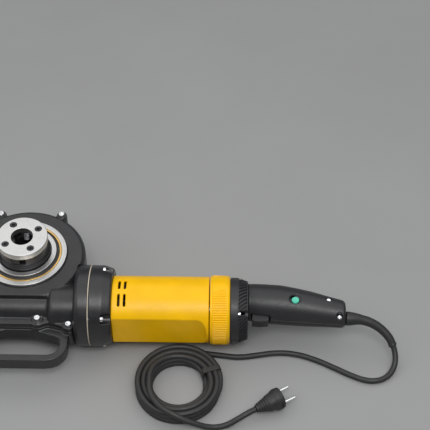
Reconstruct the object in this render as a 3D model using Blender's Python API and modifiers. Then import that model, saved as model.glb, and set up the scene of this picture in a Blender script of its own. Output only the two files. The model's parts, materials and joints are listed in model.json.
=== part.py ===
"""A compact hand-held pipe threading machine, lying on its side with the die head upwards.

Lengths are millimetres and MM turns them into metres. Places are measured from the middle of the
drive ring: X runs along the motor to the grip, Y away from the carrying loop, Z up along the ring's
axis. machine_origin moves the whole machine so that it stands on the world's origin.
"""

import math

import bmesh
import bpy
from mathutils import Matrix, Vector

MM = 0.001
GAP = 0.3  # between pieces that touch

# Gear housing and ring
HOUSING_R = 86.0
COVER_TOP = 33.0
BASE_BOTTOM = -40.0
FLOOR = -54.0
BUSH_R = (53.3, 58.5)
WHEEL_TEETH = 36
WHEEL_PITCH_R = 58.0
WHEEL_MODULE = 2 * WHEEL_PITCH_R / WHEEL_TEETH
RING_TOP = 37.0
SOCKET_APOTHEM = 46.1
ADAPTER_APOTHEM = 45.7
DIE_APOTHEM = 34.0
DIE_TOP = 72.0
DIE_COVER_R = 36.0
DIE_SCREW_R = 26.0
DIE_SCREW_ANGLE = 34.0
CHASER_ANGLE = 79.0

# Drive, all on the motor's axis but the layshaft
MOTOR_Y = -70.0
TUNNEL_R = 25.5
TUNNEL_X = (-52.0, 40.0)
NECK_R = 34.0
NECK_END = 77.7
WORM_R = -MOTOR_Y - WHEEL_PITCH_R
WORM_LEAD = math.pi * WHEEL_MODULE
LAYSHAFT_Y = MOTOR_Y + 30.0
FIRST_PAIR = (10, 50, 1.0)  # pinion teeth, wheel teeth, module
SECOND_PAIR = (11, 29, 1.5)

# Gearbox collar, motor and grip
COLLAR_Y = -65.0
COLLAR_R = 57.2
COLLAR_X = (78.0, 98.0, 99.5, 130.0)
COLLAR_SCREW_R = 53.5
GEAR_ROOM_Y = -58.0
GEAR_ROOM_R = 44.5
COLLAR_SCREW_ANGLES = (58.0, 128.0, -30.0, -128.0)
MOTOR_X = (130.3, 265.0)
MOTOR_R = 46.5
MOTOR_WALL = 3.6
MOTOR_FLAT = 38.5  # from the motor's axis to the flats in front and behind
FLAT_END = 248.0
FLAT_RUN_OUT = 17.1  # radius of the curve in which a flat runs out
STATOR_FLAT = 34.6
DIRECTION_X = (266.3, 294.0)
DIRECTION_R = 48.5
CAP_END = 319.0
GRIP_END = 455.5
GRIP_STATIONS = (  # x, middle's y, radius
    (319.3, -55.7, 26.2),
    (333.0, -57.0, 27.2),
    (350.0, -58.6, 27.8),
    (366.0, -60.0, 27.8),
    (386.0, -62.8, 26.6),
    (407.0, -66.0, 24.8),
    (425.0, -69.3, 22.6),
    (442.0, -72.5, 20.6),
    (452.0, -74.2, 19.4),
    (GRIP_END, -74.5, 16.5),
)
GRIP_WALL = 3.0
TRIGGER_PIVOT = (352.0, -78.5)
BUTTON_AT = (385.0, -70.0)
GRIP_SCREWS = ((432.0, -64.0, 18.6), (446.5, -88.0, 12.4))

# Carrying loop
LOOP_Z = (-24.0, -4.0)
LOOP_HALF = 70.0
LOOP_FRONT = -158.0
LOOP_BAR = 10.5

# Mains cord
CORD_R = 4.0
COIL_AT = (224.0, -166.0)
COIL_R = (34.0, 62.0)
COIL_TOP = -30.0
RELIEF_ROUTE = (
    (456.6, -82.0, 0.0),
    (475.0, -82.4, -1.2),
    (491.5, -84.6, -5.5),
    (506.0, -90.0, -12.5),
    (517.5, -98.5, -21.0),
    (523.7, -106.7, -29.6),
)
CORD_ROUTE = (
    (524.3, -107.9, -30.8),
    (526.7, -116.8, -38.0),
    (525.5, -128.3, -44.6),
    (519.4, -139.6, -48.5),
    (509.1, -148.1, -49.9),
    (496.3, -152.0, -49.9),
    (482.9, -150.8, -49.9),
    (468.0, -145.2, -49.9),
    (441.0, -131.0, -49.9),
    (414.0, -117.5, -49.9),
    (388.0, -109.0, -49.9),
    (362.0, -107.0, -49.9),
    (335.0, -111.0, -49.9),
    (308.0, -115.0, -49.9),
    (280.0, -112.3, -49.9),
    (257.0, -109.6, -49.9),
)
TAIL_ROUTE = (
    (240.5, -231.8, -35.2),
    (251.0, -232.8, -40.0),
    (265.0, -232.5, -46.5),
    (279.0, -230.8, -49.7),
    (293.0, -227.3, -48.0),
    (307.0, -221.5, -42.8),
    (320.0, -214.8, -39.0),
    (330.0, -209.0, -38.6),
)
PLUG_TURN = 30.0
PLUG_R = 15.4

ALONG_X = (0.0, math.pi / 2, 0.0)

for old in list(bpy.data.objects):
    bpy.data.objects.remove(old, do_unlink=True)

PARTS = bpy.data.collections.new("pipe_threading_machine")
CUTTERS = bpy.data.collections.new("cutters")
bpy.context.scene.collection.children.link(PARTS)
bpy.context.scene.collection.children.link(CUTTERS)

origin = bpy.data.objects.new("machine_origin", None)
PARTS.objects.link(origin)
origin.location = (
    -(GRIP_END - HOUSING_R) / 2 * MM,
    -(HOUSING_R + LOOP_FRONT) / 2 * MM,
    -FLOOR * MM,
)


def material(name, colour, roughness, metallic):
    made = bpy.data.materials.new(name)
    made.use_nodes = True
    shader = made.node_tree.nodes["Principled BSDF"]
    shader.inputs["Base Color"].default_value = (*colour, 1.0)
    shader.inputs["Roughness"].default_value = roughness
    shader.inputs["Metallic"].default_value = metallic
    made.diffuse_color = (*colour, 1.0)
    return made


CASTING = material("black_casting", (0.035, 0.035, 0.037), 0.42, 0.2)
YELLOW = material("yellow_plastic", (0.95, 0.5, 0.02), 0.38, 0.0)
BLACK = material("black_plastic", (0.025, 0.025, 0.027), 0.45, 0.0)
STEEL = material("bright_steel", (0.62, 0.62, 0.62), 0.3, 1.0)
DARK_STEEL = material("black_oxide_steel", (0.04, 0.04, 0.042), 0.4, 0.8)
BRASS = material("brass", (0.8, 0.5, 0.15), 0.3, 1.0)
ZINC = material("zinc_plate", (0.75, 0.75, 0.76), 0.28, 1.0)
COPPER = material("copper", (0.72, 0.32, 0.18), 0.35, 1.0)
CARBON = material("carbon", (0.03, 0.03, 0.03), 0.6, 0.0)
PAPER = material("gasket_paper", (0.5, 0.44, 0.36), 0.8, 0.0)
TEAL = material("teal_plastic", (0.12, 0.6, 0.42), 0.4, 0.0)
RUBBER = material("cord_rubber", (0.02, 0.02, 0.02), 0.6, 0.0)


# Shapes


def place(obj, at, turn, collection):
    """Puts an object in a collection, at a place in the machine."""
    collection.objects.link(obj)
    obj.parent = origin
    obj.location = Vector(at) * MM
    obj.rotation_euler = turn
    if collection is CUTTERS:
        obj.hide_render = True
        obj.display_type = "WIRE"
    return obj


def keep_mesh(obj, name, look, at, turn, collection):
    """Turns what an object's modifiers or curve make into a plain mesh, shaded smooth."""
    bpy.context.view_layer.update()
    shape = obj.evaluated_get(bpy.context.evaluated_depsgraph_get())
    mesh = bpy.data.meshes.new_from_object(shape)
    bm = bmesh.new()
    bm.from_mesh(mesh)
    bmesh.ops.remove_doubles(bm, verts=bm.verts, dist=0.00001)
    bmesh.ops.dissolve_limit(bm, angle_limit=math.radians(0.02), verts=bm.verts, edges=bm.edges)
    bm.to_mesh(mesh)
    bm.free()
    bpy.data.objects.remove(obj)
    mesh.shade_smooth()
    mesh.set_sharp_from_angle(angle=math.radians(35))
    mesh.materials.clear()
    mesh.materials.append(look)
    made = bpy.data.objects.new(name, mesh)
    return place(made, at, turn, collection)


def turned(name, profile, look, at=(0, 0, 0), turn=(0, 0, 0), segments=40, collection=PARTS):
    """A turned shape. The profile is (radius, height) from the top down the outer side."""
    mesh = bpy.data.meshes.new(name)
    points = [(r * MM, 0.0, h * MM) for r, h in profile]
    edges = [(i, i + 1) for i in range(len(points) - 1)]
    if profile[0][0] > 0:
        edges.append((len(points) - 1, 0))
    mesh.from_pydata(points, edges, [])
    obj = bpy.data.objects.new(name, mesh)
    PARTS.objects.link(obj)
    screw = obj.modifiers.new("Screw", "SCREW")
    screw.steps = segments
    screw.render_steps = segments
    screw.use_merge_vertices = True
    screw.merge_threshold = 0.00001
    return keep_mesh(obj, name, look, at, turn, collection)


def rod(name, radius, low, high, look, at=(0, 0, 0), turn=(0, 0, 0), segments=20, collection=PARTS):
    """A cylinder between two heights on its own axis."""
    profile = ((0, high), (radius, high), (radius, low), (0, low))
    return turned(name, profile, look, at, turn, segments, collection)


def box(name, low, high, look, turn=(0, 0, 0), pivot=(0, 0, 0), collection=PARTS):
    """A box between two corners, which are measured from the pivot."""
    bm = bmesh.new()
    bmesh.ops.create_cube(bm, size=1.0)
    size = Vector(high) - Vector(low)
    middle = (Vector(high) + Vector(low)) / 2
    bmesh.ops.scale(bm, vec=size * MM, verts=bm.verts)
    bmesh.ops.translate(bm, vec=middle * MM, verts=bm.verts)
    mesh = bpy.data.meshes.new(name)
    bm.to_mesh(mesh)
    bm.free()
    mesh.materials.append(look)
    return place(bpy.data.objects.new(name, mesh), pivot, turn, collection)


def plate(name, outline, low, high, look, at=(0, 0, 0), turn=(0, 0, 0), collection=PARTS):
    """A flat outline of (x, y) points, as thick as low to high."""
    curve = bpy.data.curves.new(name, "CURVE")
    curve.dimensions = "2D"
    curve.fill_mode = "BOTH"
    curve.extrude = (high - low) / 2 * MM
    line = curve.splines.new("POLY")
    line.points.add(len(outline) - 1)
    line.use_cyclic_u = True
    for point, (x, y) in zip(line.points, outline):
        point.co = (x * MM, y * MM, 0.0, 1.0)
    obj = bpy.data.objects.new(name, curve)
    PARTS.objects.link(obj)
    made = keep_mesh(obj, name, look, at, turn, collection)
    made.data.transform(Matrix.Translation((0.0, 0.0, (high + low) / 2 * MM)))
    return made


def tube(name, route, radii, look, sides=2):
    """A round tube through the points of a route, with one radius for each point."""
    curve = bpy.data.curves.new(name, "CURVE")
    curve.dimensions = "3D"
    curve.bevel_depth = MM
    curve.bevel_resolution = sides
    curve.use_fill_caps = True
    line = curve.splines.new("POLY")
    line.points.add(len(route) - 1)
    for point, place_of, radius in zip(line.points, route, radii):
        point.co = (*(Vector(place_of) * MM), 1.0)
        point.radius = radius
    obj = bpy.data.objects.new(name, curve)
    PARTS.objects.link(obj)
    return keep_mesh(obj, name, look, (0, 0, 0), (0, 0, 0), PARTS)


def loft(name, rings, look, collection=PARTS, at=(0, 0, 0), turn=(0, 0, 0)):
    """A skin over rings of equally many points, closed at both ends."""
    bm = bmesh.new()
    rows = [[bm.verts.new(Vector(p) * MM) for p in ring] for ring in rings]
    count = len(rows[0])
    for low, high in zip(rows, rows[1:]):
        for i in range(count):
            j = (i + 1) % count
            bm.faces.new((low[i], low[j], high[j], high[i]))
    bm.faces.new(rows[0][::-1])
    bm.faces.new(rows[-1])
    bmesh.ops.recalc_face_normals(bm, faces=bm.faces)
    mesh = bpy.data.meshes.new(name)
    bm.to_mesh(mesh)
    bm.free()
    mesh.shade_smooth()
    mesh.set_sharp_from_angle(angle=math.radians(35))
    mesh.materials.append(look)
    return place(bpy.data.objects.new(name, mesh), at, turn, collection)


def combine(part, operation, others):
    for other in others:
        step = part.modifiers.new(other.name, "BOOLEAN")
        step.operation = operation
        step.solver = "EXACT"
        step.object = other
    return part


def cut(part, *others):
    return combine(part, "DIFFERENCE", others)


def join(part, *others):
    return combine(part, "UNION", others)


# Outlines


def arc(middle, radius, start, end, steps):
    """Points on an arc, with its angles in degrees."""
    angles = (math.radians(start + (end - start) * i / steps) for i in range(steps + 1))
    return [(middle[0] + radius * math.cos(a), middle[1] + radius * math.sin(a)) for a in angles]


def octagon(apothem):
    corner = apothem / math.cos(math.radians(22.5))
    return arc((0, 0), corner, 22.5, 337.5, 7)


def gear_outline(teeth, module, addendum=0.85, dedendum=1.25, width=0.41):
    """Straight-sided teeth; width is the tooth's share of the pitch at the pitch circle."""
    pitch_r = teeth * module / 2
    step = 2 * math.pi / teeth
    levels = (
        (pitch_r - dedendum * module, -(width + 0.17) / 2),
        (pitch_r + addendum * module, -(width - 0.21) / 2),
        (pitch_r + addendum * module, (width - 0.21) / 2),
        (pitch_r - dedendum * module, (width + 0.17) / 2),
    )
    return [
        (r * math.cos((i + share) * step), r * math.sin((i + share) * step))
        for i in range(teeth)
        for r, share in levels
    ]


def smooth_route(points, spacing):
    """Evenly spaced points on a Catmull-Rom curve through the given ones."""
    p = [Vector(q) for q in points]
    p = [2 * p[0] - p[1], *p, 2 * p[-1] - p[-2]]
    fine = []
    for a, b, c, d in zip(p, p[1:], p[2:], p[3:]):
        for i in range(24):
            t = i / 24
            fine.append(
                0.5
                * (
                    2 * b
                    + (c - a) * t
                    + (2 * a - 5 * b + 4 * c - d) * t * t
                    + (3 * b - a - 3 * c + d) * t * t * t
                )
            )
    fine.append(p[-2])
    total = sum((b - a).length for a, b in zip(fine, fine[1:]))
    count = max(2, round(total / spacing))
    made, run, goal = [fine[0]], 0.0, total / count
    for a, b in zip(fine, fine[1:]):
        run += (b - a).length
        if run >= goal and len(made) < count:
            made.append(b)
            goal += total / count
    made.append(fine[-1])
    return made


def on_circle(middle, radius, angle):
    a = math.radians(angle)
    return (middle[0] + radius * math.cos(a), middle[1] + radius * math.sin(a))


def collar_screw_at(angle):
    """Where a collar screw stands, its angle being from straight up towards the loop."""
    a = math.radians(angle)
    return (COLLAR_Y - COLLAR_SCREW_R * math.sin(a), COLLAR_SCREW_R * math.cos(a))


# Gear housing


HOUSING_SCREWS = {  # place, top of the lug
    "housing_screw_1": (*on_circle((0, 0), 89.0, 60.0), COVER_TOP - 1),
    "housing_screw_2": (*on_circle((0, 0), 89.0, 120.0), COVER_TOP - 1),
    "housing_screw_3": (26.0, -97.5, 10.0),
    "housing_screw_4": (70.2, -106.5, 9.0),
}
SPLIT_FLANGE = (
    (TUNNEL_X[0] + 0.5, -72.0),
    (TUNNEL_X[0] + 0.5, -105.0),
    (18.0, -105.0),
    (22.5, -107.5),
    (30.0, -107.5),
    (35.0, -104.5),
    (42.0, -102.4),
    (60.0, -107.4),
    (64.5, -113.0),
    (72.0, -114.8),
    (NECK_END - 0.4, -111.0),
    (NECK_END - 0.4, -72.0),
)


def ring_cavity(low, high, name):
    """The room for the wheel, its bushes and the collar of the ring."""
    profile = (
        (0, high),
        (60.5, high),
        (60.5, 30.8),
        (58.8, 30.8),
        (58.8, 11.0),
        (63.0, 11.0),
        (63.0, -14.0),
        (58.8, -14.0),
        (58.8, low),
        (0, low),
    )
    return turned(name, profile, CASTING, segments=48, collection=CUTTERS)


def worm_bore(name):
    """The bores for the worm, its two bearings and the way into the gearbox."""
    profile = (
        (0, NECK_END + 1),
        (14.3, NECK_END + 1),
        (14.3, 58.0),
        (11.0, 58.0),
        (11.0, 50.0),
        (17.5, 42.0),
        (17.5, -34.0),
        (11.0, -34.0),
        (11.0, -36.0),
        (13.0, -36.0),
        (13.0, -46.0),
        (0, -46.0),
    )
    return turned(name, profile, CASTING, (0, MOTOR_Y, 0), ALONG_X, 20, CUTTERS)


def collar_room(name):
    """Where the gearbox collar reaches into the round housing."""
    low, high = COLLAR_X[0] - GAP, 110
    return rod(name, COLLAR_R + 0.5, low, high, CASTING, (0, COLLAR_Y, 0), ALONG_X, 48, CUTTERS)


def tunnel_and_neck(name):
    profile = (
        (0, NECK_END),
        (NECK_R, NECK_END),
        (NECK_R, TUNNEL_X[1] + 5),
        (NECK_R - 5, TUNNEL_X[1]),
        (TUNNEL_R, TUNNEL_X[1]),
        (TUNNEL_R, TUNNEL_X[0]),
        (0, TUNNEL_X[0]),
    )
    return turned(name, profile, CASTING, (0, MOTOR_Y, 0), ALONG_X, 36, CUTTERS)


def housing_base():
    profile = (
        (0, 1),
        (HOUSING_R, 1),
        (HOUSING_R, BASE_BOTTOM + 8),
        (HOUSING_R - 7, BASE_BOTTOM),
        (66.0, BASE_BOTTOM),
        (66.0, FLOOR),
        (0, FLOOR),
    )
    base = turned("gear_housing_base", profile, CASTING, segments=48)
    join(base, tunnel_and_neck("base_tunnel"))
    join(base, plate("base_flange", SPLIT_FLANGE, -10, 2, CASTING, collection=CUTTERS))
    for name, (x, y, top) in HOUSING_SCREWS.items():
        join(base, rod(f"base_lug_{name}", 7.6, -27, 3, CASTING, (x, y, 0), segments=12, collection=CUTTERS))
    join(base, carrying_loop())
    cut(base, box("above_split", (-120, -200, -GAP / 2), (120, 120, 60), CASTING, collection=CUTTERS))
    cut(base, collar_room("base_collar_room"))
    cut(base, ring_cavity(FLOOR - 1, 4, "base_ring_cavity"), worm_bore("base_worm_bore"))
    for name, (x, y, top) in HOUSING_SCREWS.items():
        hole = rod(f"base_hole_{name}", 2.8, -20, 1, CASTING, (x, y, 0), segments=8, collection=CUTTERS)
        cut(base, hole)


def carrying_loop():
    """The flat loop in front, with its hand window."""
    corner = 28.0
    side = LOOP_HALF - corner
    front = LOOP_FRONT + corner
    outer = [(-LOOP_HALF, -52.0)]
    outer += arc((-side, front), corner, 180, 270, 6)
    outer += arc((side, front), corner, 270, 360, 6)
    outer += [(LOOP_HALF, -80.0), (45.0, -66.0)]
    loop = plate("carrying_loop", outer, *LOOP_Z, CASTING, collection=CUTTERS)
    round_r = corner - LOOP_BAR
    window = arc((-side, front), round_r, 180, 270, 6)
    window += arc((side, front), round_r, 270, 360, 6)
    window += arc((side + round_r - 8, -125.5), 8.0, 0, 75, 3)
    window += [(20.0, -107.3), (-20.0, -107.3)]
    window += arc((-side - round_r + 8, -125.5), 8.0, 105, 180, 3)
    opening = plate("loop_window", window, -26, -2, CASTING, collection=CUTTERS)
    return cut(loop, opening)


def housing_cover():
    profile = (
        (0, COVER_TOP),
        (HOUSING_R - 7, COVER_TOP),
        (HOUSING_R - 2.2, COVER_TOP - 2.2),
        (HOUSING_R, COVER_TOP - 7),
        (HOUSING_R, -3),
        (0, -3),
    )
    cover = turned("gear_housing_cover", profile, CASTING, segments=48)
    cut(cover, box("front_step", (-90, -90, -5), (90, -74.5, 40), CASTING, collection=CUTTERS))
    join(cover, tunnel_and_neck("cover_tunnel"))
    join(cover, plate("cover_flange", SPLIT_FLANGE, -1, 8, CASTING, collection=CUTTERS))
    for name, (x, y, top) in HOUSING_SCREWS.items():
        lug = rod(f"cover_lug_{name}", 7.6, -2, top, CASTING, (x, y, 0), segments=12, collection=CUTTERS)
        join(cover, lug)
    cut(cover, box("below_split", (-120, -200, -60), (120, 120, GAP / 2), CASTING, collection=CUTTERS))
    cut(cover, collar_room("cover_collar_room"))
    cut(cover, ring_cavity(-60, 60, "cover_ring_cavity"), worm_bore("cover_worm_bore"))
    for name, (x, y, top) in HOUSING_SCREWS.items():
        profile = ((0, top + 12), (5.0, top + 12), (5.0, top), (2.8, top), (2.8, -1), (0, -1))
        cut(cover, turned(f"cover_hole_{name}", profile, CASTING, (x, y, 0), (0, 0, 0), 10, CUTTERS))


def cap_screw(name, length, at, turn=(0, 0, 0), head_r=4.2, head=3.6, shank_r=2.3, segments=10):
    """A socket screw whose head stands on the plane through its origin."""
    top = GAP + head
    profile = (
        (0, top - 1.8),
        (head_r * 0.5, top - 1.8),
        (head_r * 0.5, top),
        (head_r, top),
        (head_r, GAP),
        (shank_r, GAP),
        (shank_r, -length),
        (0, -length),
    )
    return turned(name, profile, ZINC, at, turn, segments)


def housing_screws():
    for name, (x, y, top) in HOUSING_SCREWS.items():
        cap_screw(name, top + 18, (x, y, top))


# Drive ring and die head


def ring_gear():
    profile = ((60.0, RING_TOP), (60.0, 31.2), (53.0, 31.2), (53.0, -50.0), (44.0, -50.0), (44.0, RING_TOP))
    ring = turned("ring_gear", profile, STEEL)
    outline = gear_outline(WHEEL_TEETH, WHEEL_MODULE, dedendum=1.18)
    wheel = plate("worm_wheel_teeth", outline, -8, 8, STEEL, collection=CUTTERS)
    lead_angle = math.atan(WORM_LEAD / (2 * math.pi * WORM_R))
    for v in wheel.data.vertices:
        twist = v.co.z * math.tan(lead_angle) / (WHEEL_PITCH_R * MM)
        v.co = Matrix.Rotation(twist, 3, "Z") @ v.co
    cut(wheel, rod("wheel_inside", 49.0, -9, 9, STEEL, segments=24, collection=CUTTERS))
    join(ring, wheel)
    cut(ring, plate("ring_socket", octagon(SOCKET_APOTHEM), 2.7, 38, STEEL, collection=CUTTERS))
    cut(ring, rod("ring_counterbore", 52.8, 31.0, 38, STEEL, segments=40, collection=CUTTERS))


def bush(name, low, high):
    inner, outer = BUSH_R
    turned(name, ((outer, high), (outer, low), (inner, low), (inner, high)), BRASS, segments=32)


def retaining_ring():
    turned("die_head_retaining_ring", ((52.4, 36.0), (52.4, 31.3), (49.8, 31.3), (49.8, 36.0)), BRASS)


def adapter_ring():
    adapter = plate("adapter_ring", octagon(ADAPTER_APOTHEM), 3, 34, STEEL)
    join(adapter, rod("adapter_flange", 45.6, 28, 40, STEEL, segments=32, collection=CUTTERS))
    cut(adapter, plate("adapter_socket", octagon(DIE_APOTHEM + GAP), 2, 32, STEEL, collection=CUTTERS))
    cut(adapter, rod("adapter_counterbore", 38.5, 30, 41, STEEL, segments=32, collection=CUTTERS))


def die_head_body():
    profile = (
        (17.0, 62.4),
        (34.5, 62.4),
        (34.5, 47.0),
        (37.4, 44.5),
        (37.4, 30.3),
        (17.0, 30.3),
    )
    body = turned("die_head_body", profile, DARK_STEEL, segments=32)
    octagon_end = plate("die_octagon", octagon(DIE_APOTHEM), 6, 33, DARK_STEEL, collection=CUTTERS)
    cut(octagon_end, rod("die_guide_bore", 19.0, 5, 34, DARK_STEEL, collection=CUTTERS))
    join(body, octagon_end)
    for k in range(4):
        turn = (0, 0, math.radians(CHASER_ANGLE + 90 * k))
        slot = box(f"chaser_slot_{k}", (8, -6.3, 50), (42, 6.3, 66), DARK_STEEL, turn, collection=CUTTERS)
        window = box(f"chip_window_{k}", (10, 5.5, 51), (43, 14, 67), DARK_STEEL, turn, collection=CUTTERS)
        cut(body, slot, window)
        x, y = on_circle((0, 0), DIE_SCREW_R, DIE_SCREW_ANGLE + 90 * k)
        hole = rod(f"post_hole_{k}", 2.6, 53, 63, DARK_STEEL, (x, y, 0), segments=8, collection=CUTTERS)
        cut(body, hole)


def die_head_cover():
    profile = (
        (15.5, DIE_TOP),
        (DIE_COVER_R - 0.8, DIE_TOP),
        (DIE_COVER_R, DIE_TOP - 0.8),
        (DIE_COVER_R, 62.8),
        (15.5, 62.8),
    )
    cover = turned("die_head_cover", profile, STEEL)
    for k in range(4):
        x, y = on_circle((0, 0), DIE_SCREW_R, DIE_SCREW_ANGLE + 90 * k)
        sink = ((0, 73), (5.3, 73), (5.3, 71.0), (2.7, 68.0), (2.7, 62), (0, 62))
        cut(cover, turned(f"countersink_{k}", sink, STEEL, (x, y, 0), (0, 0, 0), 10, CUTTERS))
        screw = ((0, 71.5), (4.7, 71.5), (4.7, 71.0), (2.2, 68.1), (2.2, 54), (0, 54))
        turned(f"die_cover_screw_{k + 1}", screw, DARK_STEEL, (x, y, 0), (0, 0, 0), 8)


def chasers():
    outline = ((33.6, -5.9), (33.6, 5.9), (17.0, 5.9), (11.5, 2.6), (11.5, -2.6), (17.0, -5.9))
    for k in range(4):
        turn = (0, 0, math.radians(CHASER_ANGLE + 90 * k))
        plate(f"chaser_{k + 1}", outline, 50.4, 62.1, STEEL, turn=turn)


# Gear train


def worm_shaft():
    """The shaft and its thread, which starts where a gap between two teeth of the wheel faces it."""
    profile = (
        (0, 94.4),
        (6.0, 94.4),
        (6.0, 53.0),
        (8.0, 53.0),
        (8.0, -33.0),
        (6.0, -33.0),
        (6.0, -45.7),
        (0, -45.7),
    )
    shaft = turned("worm_shaft", profile, STEEL, (0, MOTOR_Y, 0), ALONG_X, 16)
    steps = 14
    turns = 4
    half_root, half_tip = 0.28 * WORM_LEAD, 0.11 * WORM_LEAD
    tip, root = WORM_R + 0.85 * WHEEL_MODULE, 7.0
    rings = []
    for i in range(turns * steps + 1):
        a = 2 * math.pi * i / steps - math.pi / 2
        along = WORM_LEAD * (i / steps - turns / 2)
        section = ((root, -half_root), (tip, -half_tip), (tip, half_tip), (root, half_root))
        rings.append([(r * math.cos(a), r * math.sin(a), along + h) for r, h in section])
    join(shaft, loft("worm_thread", rings, STEEL, CUTTERS, (0, MOTOR_Y, 0), ALONG_X))


def bearing(name, middle, width, inner, outer):
    half = width / 2 - GAP
    profile = ((outer, half), (outer, -half), (inner + GAP, -half), (inner + GAP, half))
    turned(name, profile, ZINC, (middle, MOTOR_Y, 0), ALONG_X, 16)


def toothed_wheel(name, pair_wheel, module, low, high, bore, y, look, phase=0.0):
    wheel = plate(name, gear_outline(pair_wheel, module), low, high, look, (0, y, 0), ALONG_X)
    for v in wheel.data.vertices:
        v.co = Matrix.Rotation(phase, 3, "Z") @ v.co
    if bore:
        hole = rod(f"{name}_bore", bore, low - 1, high + 1, look, (0, y, 0), ALONG_X, 12, CUTTERS)
        cut(wheel, hole)
    return wheel


def gear_train():
    quarter = math.pi / 2
    toothed_wheel("worm_shaft_gear", SECOND_PAIR[1], SECOND_PAIR[2], 86, 94, 6.3, MOTOR_Y, STEEL, quarter)
    layshaft = rod("layshaft", 5.0, 79.3, 118, STEEL, (0, LAYSHAFT_Y, 0), ALONG_X)
    pinion_phase = -quarter + math.pi / SECOND_PAIR[0]
    teeth, _, module = SECOND_PAIR
    pinion = toothed_wheel("layshaft_pinion", teeth, module, 85.4, 94.6, 0, LAYSHAFT_Y, STEEL, pinion_phase)
    to_cutters(pinion)
    join(layshaft, pinion)
    wheel_phase = -quarter + math.pi / FIRST_PAIR[1]
    _, teeth, module = FIRST_PAIR
    toothed_wheel("layshaft_gear", teeth, module, 96.5, 102, 5.3, LAYSHAFT_Y, STEEL, wheel_phase)


def to_cutters(obj):
    """Moves a shape that only adds to another part out of the parts."""
    PARTS.objects.unlink(obj)
    CUTTERS.objects.link(obj)
    obj.hide_render = True
    obj.display_type = "WIRE"


def gear_room(name):
    """The hollow that both halves of the gearbox share."""
    return rod(name, GEAR_ROOM_R, 84, 107, CASTING, (0, GEAR_ROOM_Y, 0), ALONG_X, 36, CUTTERS)


def screw_holes(part, low, high):
    for angle in COLLAR_SCREW_ANGLES:
        y, z = collar_screw_at(angle)
        hole = rod(f"{part.name}_hole_{angle:.0f}", 2.8, low, high, CASTING, (0, y, z), ALONG_X, 8, CUTTERS)
        cut(part, hole)


def under_collar(name):
    """What the flat foot of the collar leaves out."""
    return box(name, (70, -130, FLOOR - 20), (140, 0, FLOOR), CASTING, collection=CUTTERS)


def gearbox_case():
    left, right = COLLAR_X[0], COLLAR_X[1]
    profile = (
        (0, right),
        (COLLAR_R, right),
        (COLLAR_R, left + 6),
        (COLLAR_R - 2, left + 2),
        (COLLAR_R - 6, left),
        (0, left),
    )
    case = turned("gearbox_case", profile, CASTING, (0, COLLAR_Y, 0), ALONG_X, 48)
    cut(case, gear_room("case_room"))
    cut(case, rod("case_shaft_hole", 9.4, 72, 90, CASTING, (0, MOTOR_Y, 0), ALONG_X, 14, CUTTERS))
    cut(case, rod("case_layshaft_seat", 5.3, 79, 90, CASTING, (0, LAYSHAFT_Y, 0), ALONG_X, 12, CUTTERS))
    screw_holes(case, 84, 99)
    cut(case, under_collar("case_foot"))


def gearbox_gasket():
    gasket = rod("gearbox_gasket", COLLAR_R - 0.1, 98.3, 99.2, PAPER, (0, COLLAR_Y, 0), ALONG_X, 48)
    cut(gasket, gear_room("gasket_room"))
    screw_holes(gasket, 97, 100)
    cut(gasket, under_collar("gasket_foot"))


def motor_flange():
    left, right = COLLAR_X[2], COLLAR_X[3]
    profile = (
        (0, right),
        (51.5, right),
        (53.0, right - 1.5),
        (COLLAR_R - 0.2, 117.0),
        (COLLAR_R, left),
        (0, left),
    )
    flange = turned("motor_flange", profile, CASTING, (0, COLLAR_Y, 0), ALONG_X, 48)
    cut(flange, gear_room("flange_room"))
    cut(flange, rod("flange_hollow", 38.0, 122, 140, CASTING, (0, MOTOR_Y, 0), ALONG_X, 32, CUTTERS))
    cut(flange, rod("front_bearing_seat", 13.0, 112, 125, CASTING, (0, MOTOR_Y, 0), ALONG_X, 16, CUTTERS))
    cut(flange, rod("pinion_way", 8.0, 100, 115, CASTING, (0, MOTOR_Y, 0), ALONG_X, 12, CUTTERS))
    seat = rod("flange_layshaft_seat", 5.3, 100, 118.4, CASTING, (0, LAYSHAFT_Y, 0), ALONG_X, 12, CUTTERS)
    cut(flange, seat)
    screw_holes(flange, 98, 120)
    for i, angle in enumerate(COLLAR_SCREW_ANGLES):
        y, z = collar_screw_at(angle)
        pocket = rod(f"screw_pocket_{i}", 7.4, 116, 140, CASTING, (0, y, z), ALONG_X, 14, CUTTERS)
        cut(flange, pocket)
        cap_screw(f"collar_screw_{i + 1}", 29, (116, y, z), ALONG_X)
    cut(flange, under_collar("flange_foot"))


# Motor


def around_motor_axis(degrees):
    """The turn that lays local z along X and then turns about it."""
    return (Matrix.Rotation(math.radians(degrees), 3, "X") @ Matrix.Rotation(math.pi / 2, 3, "Y")).to_euler()


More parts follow.
